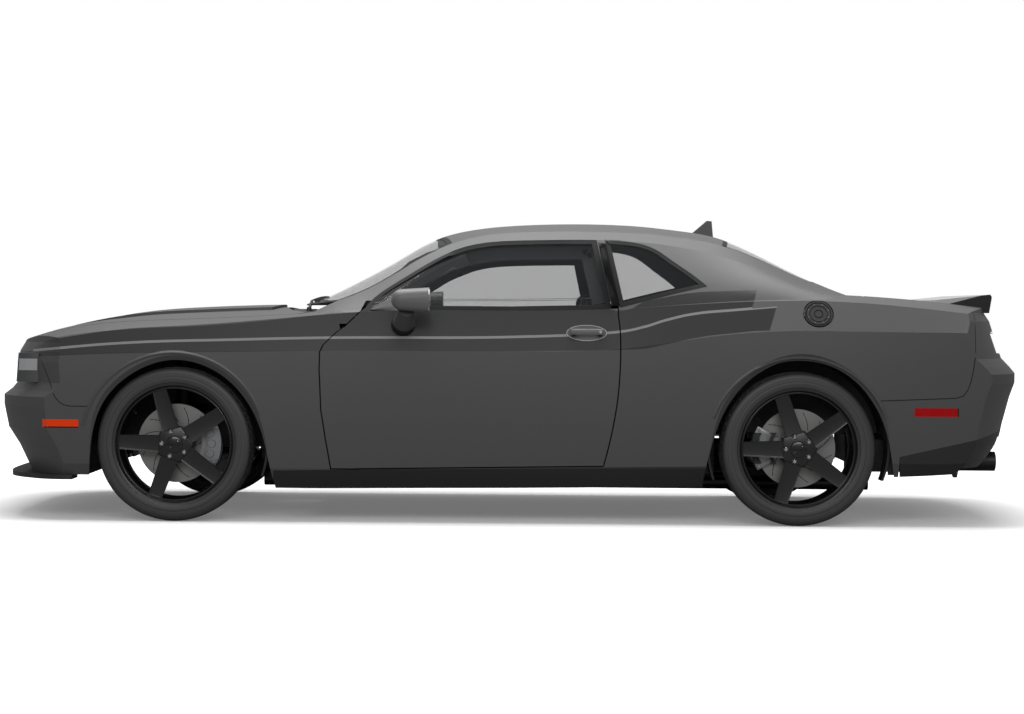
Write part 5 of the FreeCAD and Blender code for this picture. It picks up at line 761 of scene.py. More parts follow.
def front_seat(side_name, side):
    """One bucket seat: cushion and back with raised bolsters, head restraint on posts, base and covers."""
    middle = side * SEAT_MIDDLE
    left, right = spread_of(middle, SEAT_HALF)
    panel = spread_of(middle, PANEL_HALF + PANEL_LAP)
    bolsters = ((left + BOLSTER_IN, middle - PANEL_HALF), (middle + PANEL_HALF, right - BOLSTER_IN))
    shape = bmesh.new()
    hexahedron(shape, (-0.345, 0.200), (0.325, 0.425), panel, 0.004, 0.0, 0.028)
    for bolster in bolsters:
        hexahedron(shape, (-0.345, 0.195), (0.318, 0.450), bolster, 0.004)
    cushion = puffed(f"seat_cushion_{side_name}", shape, VOXEL, 0.016, ("front_seats",))
    sewn(cushion, middle, PANEL_HALF + SEAM_OUT, CUSHION_SEAMS, PANEL_HALF)
    shape = bmesh.new()
    hexahedron(shape, (0.150, 0.225), (0.400, 0.930), panel, 0.150, 0.0, 0.026)
    for bolster in bolsters:
        hexahedron(shape, (0.122, 0.215), (0.400, 0.900), bolster, 0.148, 0.010)
    back = puffed(f"seat_back_{side_name}", shape, VOXEL, 0.018)
    sewn(back, middle, PANEL_HALF + SEAM_OUT, BACK_SEAMS, PANEL_HALF, 2)
    shape = bmesh.new()
    hexahedron(shape, (0.345, 0.408), (0.975, 1.090), spread_of(middle, RESTRAINT_HALF), 0.010, 0.012, 0.026)
    sewn(puffed(f"head_restraint_{side_name}", shape, FINE_VOXEL, 0.010), middle, RESTRAINT_SEAM)
    with modelled(f"restraint_posts_{side_name}", chrome, "body", "steel") as shape:
        for y in spread_of(middle, POST_REACH):
            rod(shape, (0.352, y, 0.90), (0.374, y, 1.00), POST_RADIUS)
    with modelled(f"seat_base_{side_name}", black_abs, "body", "dash_plastic") as shape:
        base = (left + BASE_IN, right - BASE_IN)
        hexahedron(shape, (-0.245, 0.120), (BASE_FOOT, 0.330), base, 0.0, 0.010, 0.012)
        for y in (left + RUNNER_IN, right - RUNNER_IN):
            block(shape, (-0.249, y - RUNNER_HALF, RUNNER_FOOT), (0.124, y + RUNNER_HALF, BASE_FOOT), 0.003)
    with modelled(f"recliner_covers_{side_name}", black_abs, "body", "dash_plastic") as shape:
        for y in (left + COVER_IN, right - COVER_IN):
            hexahedron(shape, (0.085, 0.245), (0.300, 0.420), spread_of(y, COVER_HALF), 0.012, 0.0, 0.0035)


BENCH_MIDDLE, BENCH_HALF, BENCH_BACK_HALF, BENCH_PANEL = 0.300, 0.272, 0.268, 0.165
BENCH_CUSHION_SEAMS, BENCH_BACK_SEAMS = (0.76, 0.86, 0.96), (0.62, 0.71, 0.80, 0.89)


def rear_bench(side_name, side):
    """One half of the rear bench: a cushion and a back pad."""
    middle = side * BENCH_MIDDLE
    shape = bmesh.new()
    hexahedron(shape, (0.665, 1.030), (0.462, 0.538), spread_of(middle, BENCH_HALF), 0.0, 0.004)
    cushion = puffed(f"rear_cushion_{side_name}", shape, VOXEL, 0.014, ("rear_seat",))
    sewn(cushion, middle, BENCH_PANEL, BENCH_CUSHION_SEAMS, BENCH_PANEL)
    shape = bmesh.new()
    hexahedron(shape, (1.018, 1.082), (0.540, 0.955), spread_of(middle, BENCH_BACK_HALF), 0.030, 0.006, 0.024)
    back = puffed(f"rear_back_{side_name}", shape, VOXEL, 0.012)
    sewn(back, middle, BENCH_PANEL, BENCH_BACK_SEAMS, BENCH_PANEL, 2)


for side_name, side in SIDES:
    front_seat(side_name, side)
    rear_bench(side_name, side)


# The body's outer surface, found along lines that run across the car

BODY_SKIN = ("fender_left", "fender_right", "hood", "front_bumper", "rear_bumper", "body_side_left",
             "body_side_right", "door_left", "door_right", "roof_panel", "tulip_panel", "decklid",
             "rear_valance", "sill_covers")
CLEAR_OF_CAR = Vector((3.0, 1.3, 1.6))


def skin_tree(nodes):
    """The faces of the named nodes as one tree that finds where a line meets them."""
    points, faces = [], []
    for node in nodes:
        mesh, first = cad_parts[node].data, len(points)
        points += [vert.co.copy() for vert in mesh.vertices]
        faces += [[first + index for index in face.vertices] for face in mesh.polygons]
    return BVHTree.FromPolygons(points, faces)


SKIN = skin_tree(BODY_SKIN)
GLAZED_SKIN = skin_tree(BODY_SKIN + ("door_glass_left", "door_glass_right", "fixed_glass"))
PANE_SKIN = skin_tree(("door_glass_left", "door_glass_right"))


def first_met(skin, start, outward):
    """The first point of a skin on a line that runs in from outside, and the outward direction there."""
    spot, normal = skin.ray_cast(start, -outward)[:2]
    return spot, normal if spot is None or normal.dot(outward) > 0 else -normal


def on_side(x, z, side, skin=SKIN):
    """The outermost point of the body at this place on one side, and the outward direction there."""
    outward = Vector((0, side, 0))
    spot, normal = first_met(skin, Vector((x, side * CLEAR_OF_CAR.y, z)), outward)
    return (Vector((x, side * 0.9, z)), outward) if spot is None else (spot, normal)


def spread(points, step):
    """Places along a broken line, evenly apart."""
    spots = [Vector(points[0])]
    for first, last in zip(points, points[1:]):
        first, last = Vector(first), Vector(last)
        count = max(1, round((last - first).length / step))
        spots += [first.lerp(last, number / count) for number in range(1, count + 1)]
    return spots


def ribbon(shape, spots, width, lift, sunk=0.001, ring=False, flat=0.9):
    """A thin strip over points on a surface, each with its outward direction; flat is its level share."""
    rows, count = [], len(spots)
    for number, (spot, normal) in enumerate(spots):
        before = spots[number - 1 if ring or number else 0][0]
        after = spots[(number + 1) % count if ring else min(number + 1, count - 1)][0]
        across = normal.cross(after - before).normalized() * (width / 2)
        corners = (spot + across - normal * sunk, spot + across * flat + normal * lift,
                   spot - across * flat + normal * lift, spot - across - normal * sunk)
        verts = [shape.verts.new(corner) for corner in corners]
        rows.append([shape.edges.new(pair) for pair in zip(verts, verts[1:])])
    for row, after in zip(rows, rows[1:] + rows[:1] if ring else rows[1:]):
        bmesh.ops.bridge_loops(shape, edges=row + after)


FRONT_SEAM = [(-2.215, 0.753), (-2.175, 0.673), (-2.141, 0.600), (-2.128, 0.577), (-2.112, 0.560),
              (-2.090, 0.547), (-2.060, 0.541), (-1.975, 0.541)]
REAR_SEAM = [(2.2075, 1.010), (2.205, 0.928), (2.198, 0.831), (2.188, 0.749), (2.176, 0.690), (2.160, 0.648),
             (2.140, 0.624), (2.110, 0.613), (1.926, 0.605), (1.750, 0.598)]
SEAM_STEP, SEAM_WIDTH, SEAM_LIFT = 0.025, 0.0045, 0.0006
for side_name, side in SIDES:
    with modelled(f"panel_seams_{side_name}", seal_rubber, "body", "black_trim") as shape:
        for seam in (FRONT_SEAM, REAR_SEAM):
            spots = [on_side(spot.x, spot.y, side) for spot in spread(seam, SEAM_STEP)]
            ribbon(shape, spots, SEAM_WIDTH, SEAM_LIFT)


# Fittings on the body's side: places are given along the car and in height

PLATE_SINK = 0.001


def patch(shape, corners, side, lift):
    """A thin plate, flat between four places on the body's side."""
    bmesh.ops.create_grid(shape, x_segments=12, y_segments=6, size=0.5)
    ends = [on_side(*corner, side, GLAZED_SKIN) for corner in corners]
    rim_verts = {vert for edge in shape.edges if edge.is_boundary for vert in edge.verts}
    for vert in shape.verts:
        u, v = vert.co.x + 0.5, vert.co.y + 0.5
        spot, normal = [low_front.lerp(low_back, u).lerp(high_front.lerp(high_back, u), v)
                        for low_front, low_back, high_back, high_front in zip(*ends)]
        vert.co = spot + normal * (-PLATE_SINK if vert in rim_verts else lift)


NOSE_LOW, NOSE_HIGH, NOSE_BACK = (-2.345, 0.800, 0.650), (-2.335, 0.800, 0.788), -2.232
NOSE_CROWN, NOSE_SKIRT = 0.012, 0.022
LENS_ALONG, LENS_UP, LENS_LIFT = (0.12, 0.95), (0.40, 0.80), 0.0022


def nose_corner(shape, side, along_shares=(0.0, 1.0), up_shares=(0.0, 1.0), lift=0.0):
    """A curved plate that closes the side end of the grille opening, or a raised part of it."""
    made = bmesh.ops.create_grid(shape, x_segments=10, y_segments=6, size=0.5)["verts"]
    low_front, high_front = [Vector((x, side * y, z)) for x, y, z in (NOSE_LOW, NOSE_HIGH)]
    low_back, high_back = [on_side(NOSE_BACK, spot.z, side)[0] for spot in (low_front, high_front)]
    outward = Vector((-0.6, side * 0.8, 0))
    for vert in made:
        u = along_shares[0] + (vert.co.x + 0.5) * (along_shares[1] - along_shares[0])
        v = up_shares[0] + (vert.co.y + 0.5) * (up_shares[1] - up_shares[0])
        crown = NOSE_CROWN * 4 * u * (1 - u)
        flat = low_front.lerp(low_back, u).lerp(high_front.lerp(high_back, u), v)
        vert.co = flat + outward * (crown + lift)
    border = [edge for edge in shape.edges if edge.is_boundary]
    made = bmesh.ops.extrude_edge_only(shape, edges=border)["geom"]
    skirt = [item for item in made if isinstance(item, bmesh.types.BMVert)]
    inward = -outward * lift * 1.2 if lift else Vector((0, -side * NOSE_SKIRT, 0))
    bmesh.ops.translate(shape, vec=inward, verts=skirt)


MARKERS = ((-2.196, -2.022, 0.442, 0.478), (1.910, 2.118, 0.525, 0.565))
MARKER_CUT, MARKER_WIDTH, MARKER_LIFT = 0.012, 0.006, 0.0012
SAIL_CORNERS = ((-0.668, 1.003), (-0.530, 1.003), (-0.530, 1.092), (-0.655, 1.012))
PILLAR_CORNERS = ((0.483, 1.034), (0.528, 1.034), (0.462, 1.334), (0.415, 1.334))
PATCH_LIFT = 0.0035
# low and high place along the car, low and high height, and distance from the car's middle
GUARDS = ((-1.190, -1.125, 0.285, 0.460, 0.640), (0.885, 0.995, 0.225, 0.470, 0.640),
          (1.760, 1.836, 0.262, 0.400, 0.640), (1.800, 1.850, 0.243, 0.400, 0.860))
GUARD_HALF, GUARD_BEVEL = 0.0015, 0.0008
ARCH_RADIUS, ARCH_STEP, BEAD_WIDTH, BEAD_LIFT, BEAD_FLAT = 0.433, 4, 0.022, 0.0055, 0.15
ARCH_ENDS = ((FRONT_AXLE, -78, 70), (REAR_AXLE, -70, 72))


def side_plates(side_name, side):
    """Marker surrounds, nose corner, mirror sail, pillar cover, splash guards and arch beads of one side."""
    with modelled(f"marker_surrounds_{side_name}", gloss_abs, "body", "gloss_black") as shape:
        for front, back, low, high in MARKERS:
            outline = [(front, high), (back, high), (back, low), (front + MARKER_CUT, low), (front, high)]
            spots = [on_side(spot.x, spot.y, side) for spot in spread(outline, 0.01)]
            ribbon(shape, spots[:-1], MARKER_WIDTH, MARKER_LIFT, ring=True)
    with modelled(f"nose_corner_{side_name}", plain_enamel, "body", "body_paint") as shape:
        nose_corner(shape, side)
    with modelled(f"corner_lens_{side_name}", lamp_grey, "body", "lamp_glass") as shape:
        nose_corner(shape, side, LENS_ALONG, LENS_UP, LENS_LIFT)
    with modelled(f"mirror_sail_{side_name}", black_abs, f"door_{side_name}", "black_trim") as shape:
        patch(shape, SAIL_CORNERS, side, PATCH_LIFT)
    with modelled(f"pillar_cover_{side_name}", gloss_abs, "body", "gloss_black") as shape:
        patch(shape, PILLAR_CORNERS, side, PATCH_LIFT)
    with modelled(f"splash_guards_{side_name}", black_abs, "body", "black_trim") as shape:
        for low_x, high_x, low_z, high_z, y in GUARDS:
            low_y, high_y = spread_of(side * y, GUARD_HALF)
            block(shape, (low_x, low_y, low_z), (high_x, high_y, high_z), GUARD_BEVEL)
    with modelled(f"arch_beads_{side_name}", plain_enamel, "body", "body_paint") as shape:
        for axle, first, last in ARCH_ENDS:
            arc = [polar(turn, ARCH_RADIUS, 0) for turn in range(first, last + 1, ARCH_STEP)]
            spots = [on_side(axle + spot.x, TYRE_RADIUS + spot.z, side) for spot in arc]
            ribbon(shape, spots, BEAD_WIDTH, BEAD_LIFT, flat=BEAD_FLAT)


HANDLE_FACE, HANDLE_DEPTH, HANDLE_BEVEL = 0.9645, 0.018, 0.0055
HANDLE_SPAN_X, HANDLE_SPAN_Z = (0.289, 0.4435), (0.8975, 0.9245)
DISH_X, DISH_Z, DISH_REACH, DISH_RISE, DISH_LIFT = 0.366, 0.905, 0.094, 0.036, 0.0006
RIM_WIDTH, RIM_LIFT = 0.0035, 0.0015
LOCK_X, LOCK_Z, LOCK_IN, LOCK_OUT, LOCK_RADIUS = 0.430, 0.911, 0.004, 0.0008, 0.0065
TRIM_LINE = ((-0.700, 0.975), (-0.642, 1.012), (-0.526, 1.090), (-0.410, 1.164), (-0.307, 1.216),
             (-0.200, 1.258))
PANE_LOW, PANE_HIGH = (-0.540, 1.030), (-0.380, 1.130)
TRIM_WIDTH, TRIM_INBOARD, TRIM_THICKNESS = 0.066, 0.018, 0.004


def door_fittings(side_name, side):
    """Handle with its dish and rim, the trim inside the windscreen pillar, and the lock."""
    body = f"door_{side_name}"
    # the handle cover is painted lighter than the body: a painted highlight on the lit handle
    with modelled(f"handle_cover_{side_name}", enamel_with_painted_highlight, body, "body_paint") as shape:
        block(shape, (HANDLE_SPAN_X[0], side * (HANDLE_FACE - HANDLE_DEPTH), HANDLE_SPAN_Z[0]),
              (HANDLE_SPAN_X[1], side * HANDLE_FACE, HANDLE_SPAN_Z[1]), HANDLE_BEVEL, 3)
    dish_rim = []
    with modelled(f"handle_dish_{side_name}", plain_enamel, body, "body_paint") as shape:
        bmesh.ops.create_circle(shape, cap_ends=True, segments=64, radius=1.0)
        for vert in shape.verts:
            dish_rim.append(on_side(DISH_X + DISH_REACH * vert.co.x, DISH_Z + DISH_RISE * vert.co.y, side))
            spot, normal = dish_rim[-1]
            vert.co = spot + normal * DISH_LIFT
    # the dish rim's light grey is a painted highlight along the edge of the handle dish
    with modelled(f"handle_dish_rim_{side_name}", rim_painted_highlight, body, "body_paint") as shape:
        ribbon(shape, dish_rim, RIM_WIDTH, RIM_LIFT, ring=True)
    with modelled(f"pillar_trim_{side_name}", soft_skin, "body", "dash_plastic") as shape:
        low, high = [on_side(*spot, side, PANE_SKIN)[0] for spot in (PANE_LOW, PANE_HIGH)]
        slope = (high.y - low.y) / (high.z - low.z)
        outward = Vector((0, side * 0.94, 0.34))
        spots = [(Vector((x, low.y + slope * (z - low.z), z)), outward) for x, z in TRIM_LINE]
        ribbon(shape, spots, TRIM_WIDTH, -TRIM_INBOARD, TRIM_INBOARD + TRIM_THICKNESS)
    with modelled(f"door_lock_{side_name}", chrome, body, "steel") as shape:
        inner, outer = side * (HANDLE_FACE - LOCK_IN), side * (HANDLE_FACE + LOCK_OUT)
        rod(shape, (LOCK_X, inner, LOCK_Z), (LOCK_X, outer, LOCK_Z), LOCK_RADIUS, 20)


for side_name, side in SIDES:
    side_plates(side_name, side)
    door_fittings(side_name, side)


# Mirrors: a rounded head on a tapered foot, with silvered glass

HEAD_X, HEAD_Y, HEAD_Z = (-0.548, -0.372), (0.975, 1.122), (0.996, 1.112)
HEAD_MIDDLE_X, HEAD_MIDDLE_Y, HEAD_MIDDLE_Z, NOSE_SHARE_Y, NOSE_SHARE_Z = -0.46, 1.048, 1.054, 0.86, 0.80
HEAD_BEVEL, HEAD_STEPS = 0.044, 6
MIRROR_X, MIRROR_Y, MIRROR_Z, MIRROR_BEVEL = (-0.3745, -0.3690), (0.985, 1.113), (1.005, 1.104), 0.0024
FOOT_ROOT, FOOT_TOP = (-0.500, 0.912, 0.938), (-0.478, 1.035, 1.008)
FOOT_RADIUS, FOOT_TOP_RADIUS = 0.052, 0.036
GASKET_SHARE, GASKET_RADIUS, GASKET_TOP_RADIUS = 0.16, 0.057, 0.054


def on_the_side(spot, side):
    return Vector((spot[0], side * spot[1], spot[2]))


def mirror(side_name, side):
    body = f"door_{side_name}"
    replaces = (f"mirror_{side_name}",)
    # the mirror head is painted lighter than the body: a painted highlight on the lit head
    with modelled(f"mirror_head_{side_name}", enamel_with_painted_highlight, body, "body_paint", 50.0, replaces) as shape:
        low, high = zip(HEAD_X, HEAD_Y, HEAD_Z)
        for vert in block(shape, on_the_side(low, side), on_the_side(high, side)):
            if vert.co.x < HEAD_MIDDLE_X:
                vert.co.z = HEAD_MIDDLE_Z + (vert.co.z - HEAD_MIDDLE_Z) * NOSE_SHARE_Z
                vert.co.y = side * (HEAD_MIDDLE_Y + (side * vert.co.y - HEAD_MIDDLE_Y) * NOSE_SHARE_Y)
        front = [edge for edge in shape.edges if any(vert.co.x <= HEAD_MIDDLE_X for vert in edge.verts)]
        round_edges(shape, front, HEAD_BEVEL, HEAD_STEPS)
    with modelled(f"mirror_glass_{side_name}", mirror_silver, body, "glass") as shape:
        low, high = zip(MIRROR_X, MIRROR_Y, MIRROR_Z)
        block(shape, on_the_side(low, side), on_the_side(high, side), MIRROR_BEVEL)
    root, foot = on_the_side(FOOT_ROOT, side), on_the_side(FOOT_TOP, side)
    with modelled(f"mirror_foot_{side_name}", plain_enamel, body, "body_paint") as shape:
        rod(shape, root, foot, FOOT_RADIUS, 32, FOOT_TOP_RADIUS)
    with modelled(f"mirror_gasket_{side_name}", seal_rubber, body, "black_trim") as shape:
        rod(shape, root, root.lerp(foot, GASKET_SHARE), GASKET_RADIUS, 32, GASKET_TOP_RADIUS)


for side_name, side in SIDES:
    mirror(side_name, side)


# Rubber seals around the glass, and the padded rails inside the roof

def sheets(shape):
    """The faces of a shape in groups that hang together, in the same order on each run."""
    left = set(shape.faces)
    for first in shape.faces:
        if first not in left:
            continue
        left.discard(first)
        sheet, front = set(), [first]
        while front:
            face = front.pop()
            sheet.add(face)
            for near in {near for edge in face.edges for near in edge.link_faces} & left:
                left.discard(near)
                front.append(near)
        yield sheet


def longest_loop(border):
    """The longest closed chain of corners along a set of edges, the same on each run."""
    loops = []
    for start in sorted(border, key=lambda edge: [*edge.verts[0].co, *edge.verts[1].co]):
        if start not in border:
            continue
        border.discard(start)
        chain = list(start.verts)
        while chain[-1] is not chain[0]:
            onward = [near for near in chain[-1].link_edges if near in border]
            if not onward:
                break
            border.discard(onward[0])
            chain.append(onward[0].other_vert(chain[-1]))
        loops.append(chain[:-1])
    return max(loops, key=len, default=[])


def panes(node):
    """Each sheet of glass in a node: its outer face's border, the outward directions there and its middle."""
    shape = bmesh.new()
    shape.from_mesh(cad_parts[node].data)
    bmesh.ops.remove_doubles(shape, verts=shape.verts, dist=0.00005)
    found = []
    for sheet in sheets(shape):
        middle = sum((face.calc_center_median() for face in sheet), Vector()) / len(sheet)
        away = middle - Vector((middle.x * 0.75, 0, 0.60))
        facing = [face.normal * face.calc_area() for face in sheet if face.normal.dot(away) > 0]
        outward = sum(facing, Vector()).normalized()
        outer = {face for face in sheet if face.normal.dot(outward) > 0.55}
        edges = {edge for face in outer for edge in face.edges}
        border = {edge for edge in edges if sum(near in outer for near in edge.link_faces) == 1}
        longest = longest_loop(border)
        if longest:
            around = [[face for face in vert.link_faces if face in outer] for vert in longest]
            normals = [max(faces, key=lambda face: face.calc_area()).normal.copy() for faces in around]
            found.append(([vert.co.copy() for vert in longest], normals, middle))
    shape.free()
    return found


def evened(points, normals, step):
    """The same closed line with points evenly apart."""
    spots, count = [], len(points)
    reach = 0.0
    for number in range(count):
        first, last = points[number], points[(number + 1) % count]
        length = (last - first).length
        while reach < length:
            share = reach / length
            normal = normals[number].lerp(normals[(number + 1) % count], share).normalized()
            spots.append((first.lerp(last, share), normal))
            reach += step
        reach -= length
    return spots


def border_strip(shape, pane, width, rise, edge=0.004, sunk=0.0003, drop=0.0):
    """A closed strip over the border of one pane, width wide, raised by rise or lowered by drop."""
    points, normals, middle = pane
    spots = evened(points, normals, 0.018)
    count = len(spots)
    rings = [[], [], [], []]
    for number, (spot, normal) in enumerate(spots):
        along = (spots[(number + 1) % count][0] - spots[number - 1][0]).normalized()
        inward = normal.cross(along).normalized()
        if inward.dot(middle - spot) < 0:
            inward.negate()
        reaches = ((-edge, -0.004), (-edge, rise), (width * 0.94, rise), (width, sunk))
        for ring, (reach, lift) in zip(rings, reaches):
            ring.append(shape.verts.new(spot + inward * reach + normal * (lift - drop)))
    loops = [[shape.edges.new((ring[i], ring[(i + 1) % count])) for i in range(count)] for ring in rings]
    for ring, after in zip(loops, loops[1:]):
        bmesh.ops.bridge_loops(shape, edges=ring + after)


GLAZING = (("fixed_glass", "body"), ("door_glass_left", "door_left"), ("door_glass_right", "door_right"))
SEAL_WIDTH, SEAL_RISE = 0.022, 0.0012
RAIL_DROP, RAIL_WIDTH, RAIL_RISE, RAIL_EDGE, RAIL_FOOT = 0.050, 0.078, 0.006, 0.030, 1.045
for node, body in GLAZING:
    with modelled(f"{node}_seal", seal_rubber, body, "black_trim") as shape:
        for pane in panes(node):
            border_strip(shape, pane, SEAL_WIDTH, SEAL_RISE)
for side_name, side in SIDES:
    with modelled(f"roof_rail_trim_{side_name}", headliner, "body", "dash_plastic") as shape:
        pane = panes(f"door_glass_{side_name}")[0]
        border_strip(shape, pane, RAIL_WIDTH, RAIL_RISE, RAIL_EDGE, 0.0, RAIL_DROP)
        below = [face for face in shape.faces if face.calc_center_median().z < RAIL_FOOT]
        bmesh.ops.delete(shape, geom=below, context="FACES")


# Lamps: points of a profile are (distance forward, radius)

LAMP_Z = 0.713
LAMP_SPOTS = (("outer", 0.711, -2.311), ("inner", 0.509, -2.384))
LAMP_PARTS = ("bezel", "halo", "bowl", "projector")
BEZEL = [(-0.060, 0.058), (0.0, 0.058), (0.004, 0.055), (0.004, 0.050), (-0.014, 0.047), (-0.060, 0.046)]
HALO = [(-0.010, 0.0475), (-0.006, 0.0440), (-0.010, 0.0405), (-0.014, 0.0440), (-0.010, 0.0475)]
BOWL = [(-0.058, 0.0460), (-0.050, 0.0380), (-0.030, 0.0330), (-0.026, 0.0310), (-0.030, 0.0290)]
PROJECTOR = [(-0.032, 0.0300), (-0.024, 0.0280), (-0.016, 0.0210), (-0.012, 0.0110), (-0.0112, 0.0002)]


def head_lamp(name, middle):
    """One round lamp: black bezel, pale halo ring, steel bowl and a smoked projector lens."""
    for part, profile, coat, steps in zip(LAMP_PARTS, (BEZEL, HALO, BOWL, PROJECTOR),
                                          (gloss_abs, lamp_grey, stainless, lamp_clear), (64, 64, 48, 48)):
        replaces = ("front_lamps",) if part == "bezel" else ()
        with modelled(f"{name}_{part}", coat, "body", "lamp_glass", replaces=replaces) as shape:
            turned(shape, profile, middle, steps)


for side_name, side in SIDES:
    for where, y, front in LAMP_SPOTS:
        head_lamp(f"head_lamp_{where}_{side_name}", (front, side * y, LAMP_Z))


# Tail: lamp loops, reversing lamp and number plate

TAIL_SKIN = skin_tree(("rear_lamps", "rear_bumper", "decklid", "rear_valance"))
LAMP_HEIGHT, LOOP_MIDDLE = 0.868, 0.430
# half the width and half the height of each lamp loop
LOOPS = ((0.235, 0.036), (0.215, 0.022))
LOOP_STEP, LOOP_WIDTH, LOOP_LIFT, LOOP_FLAT = 0.012, 0.009, 0.0025, 0.5
RIB_PITCH, RIB_HEIGHTS, RIB_WIDTH, RIB_LIFT = 0.010, (-0.030, -0.015, 0.0, 0.015, 0.030), 0.005, 0.0015
PLATE_X, PLATE_Z, PLATE_HALF_WIDTH, PLATE_HALF_HEIGHT, PLATE_THICKNESS = 2.4475, 0.6126, 0.152, 0.056, 0.0025
BOLT_Y, BOLT_Z, PLATE_BOLT_RADIUS, PLATE_BOLT_TOP = 0.089, 0.044, 0.0065, 0.0055
BOLT_START, BOLT_END = PLATE_X + 0.002, PLATE_X + 0.006


def stadium(half_width, half_height, steps=10):
    """Half-round ended loop in a plane across the car."""
    reach = half_width - half_height
    turns = [math.pi * number / steps for number in range(steps + 1)]
    right = [(reach + half_height * math.sin(turn), half_height * math.cos(turn)) for turn in turns]
    return right + [(-y, -z) for y, z in right]


def tail_surface(y, z):
    """The rearmost point of the tail at this place, and its outward direction."""
    outward = Vector((1, 0, 0))
    spot, normal = first_met(TAIL_SKIN, Vector((CLEAR_OF_CAR.x, y, z)), outward)
    return (Vector((2.35, y, z)), outward) if spot is None else (spot, normal)


for side_name, side in SIDES:
    with modelled(f"tail_lamp_loops_{side_name}", red_lens, "body", "red_lens") as shape:
        for half_width, half_height in LOOPS:
            places = [(side * LOOP_MIDDLE + y, LAMP_HEIGHT + z) for y, z in stadium(half_width, half_height)]
            points, normals = zip(*[tail_surface(*spot) for spot in places])
            spots = evened(points, normals, LOOP_STEP)
            ribbon(shape, spots, LOOP_WIDTH, LOOP_LIFT, ring=True, flat=LOOP_FLAT)
with modelled("reversing_lamp_ribs", lamp_grey, "body", "lamp_glass") as shape:
    for number in range(-8, 9):
        spots = [tail_surface(RIB_PITCH * number, LAMP_HEIGHT + z) for z in RIB_HEIGHTS]
        ribbon(shape, spots, RIB_WIDTH, RIB_LIFT)
with modelled("number_plate_blank", plate_white, "body", "steel") as shape:
    block(shape, (PLATE_X, -PLATE_HALF_WIDTH, PLATE_Z - PLATE_HALF_HEIGHT),
          (PLATE_X + PLATE_THICKNESS, PLATE_HALF_WIDTH, PLATE_Z + PLATE_HALF_HEIGHT), 0.0010)
with modelled("number_plate_bolts", stainless, "body", "steel") as shape:
    for y in (-BOLT_Y, BOLT_Y):
        for z in (PLATE_Z - BOLT_Z, PLATE_Z + BOLT_Z):
            rod(shape, (BOLT_START, y, z), (BOLT_END, y, z), PLATE_BOLT_RADIUS, 6, PLATE_BOLT_TOP)


# Fuel lid: rings and a wreath of small screws on its face

LID_X, LID_Z = 1.4567, 1.0049
LID_RINGS, RING_FOOT, RING_TOP = ((0.0560, 0.0600), (0.0400, 0.0430), (0.0180, 0.0215)), -0.0005, 0.0014
SCREWS, SCREW_CIRCLE, SCREW_RADIUS, SCREW_TOP = 8, 0.0495, 0.0036, 0.0030
SCREW_SUNK, SCREW_RISE = 0.001, 0.0022

lid_spot, lid_axis = on_side(LID_X, LID_Z, -1, skin_tree(("fuel_door",)))
lid_frame = Matrix.Translation(lid_spot) @ lid_axis.to_track_quat("Z", "Y").to_matrix().to_4x4()
with modelled("fuel_lid_rings", gloss_abs, "fuel_door", "gloss_black") as shape:
    for low, high in LID_RINGS:
        section = [(low, 0, RING_FOOT), (low, 0, RING_TOP), (high, 0, RING_TOP), (high, 0, RING_FOOT)]
        spin(shape, section, (0, 0, 0), (0, 0, 1), FULL_TURN, 72)
    bmesh.ops.transform(shape, matrix=lid_frame, verts=shape.verts)
with modelled("fuel_lid_screws", stainless, "fuel_door", "steel") as shape:
    for number in range(SCREWS):
        angle = FULL_TURN / SCREWS * (number + 0.5)
        foot = Vector((SCREW_CIRCLE * math.sin(angle), SCREW_CIRCLE * math.cos(angle), 0.0))
        top = foot + Vector((0, 0, SCREW_RISE))
        rod(shape, foot - Vector((0, 0, SCREW_SUNK)), top, SCREW_RADIUS, 12, SCREW_TOP)
    bmesh.ops.transform(shape, matrix=lid_frame, verts=shape.verts)


# Wipers on the cowl: each runs from its pivot to its tip, as distances across the car

COWL = skin_tree(("cowl", "fixed_glass", "hood"))
WIPERS = ((-0.42, 0.12), (0.12, 0.62))
WIPER_FOOT, WIPER_RISE, WIPER_SHARES, BLADE_BACK = -0.985, 0.045, (0.0, 0.2, 0.4, 0.6, 0.8, 1.0), 0.012
ARM_WIDTH, ARM_LIFT, BLADE_WIDTH, BLADE_LIFT = 0.014, 0.016, 0.007, 0.012
PIVOT_SUNK, PIVOT_RISE, PIVOT_RADIUS, PIVOT_TOP = 0.004, 0.020, 0.014, 0.011


def from_above(x, y):
    """The highest point of the windscreen's foot at this place, and the upward direction there."""
    return first_met(COWL, Vector((x, y, CLEAR_OF_CAR.z)), Vector((0, 0, 1)))


arms, blades = bmesh.new(), bmesh.new()
for pivot, tip in WIPERS:
    points = [(WIPER_FOOT + WIPER_RISE * share, pivot + (tip - pivot) * share) for share in WIPER_SHARES]
    spots = [from_above(x, y) for x, y in points]
    ribbon(arms, spots, ARM_WIDTH, ARM_LIFT, -0.009)
    ribbon(blades, [from_above(x + BLADE_BACK, y) for x, y in points[1:]], BLADE_WIDTH, BLADE_LIFT, 0.0)
    foot, top = spots[0][0] - Vector((0, 0, PIVOT_SUNK)), spots[0][0] + Vector((0, 0, PIVOT_RISE))
    rod(arms, foot, top, PIVOT_RADIUS, 24, PIVOT_TOP)
new_piece("wiper_arms", arms, black_abs, "body")
new_piece("wiper_blades", blades, seal_rubber, "body")


# Cabin: dashboard fittings, console, mirror and door cards

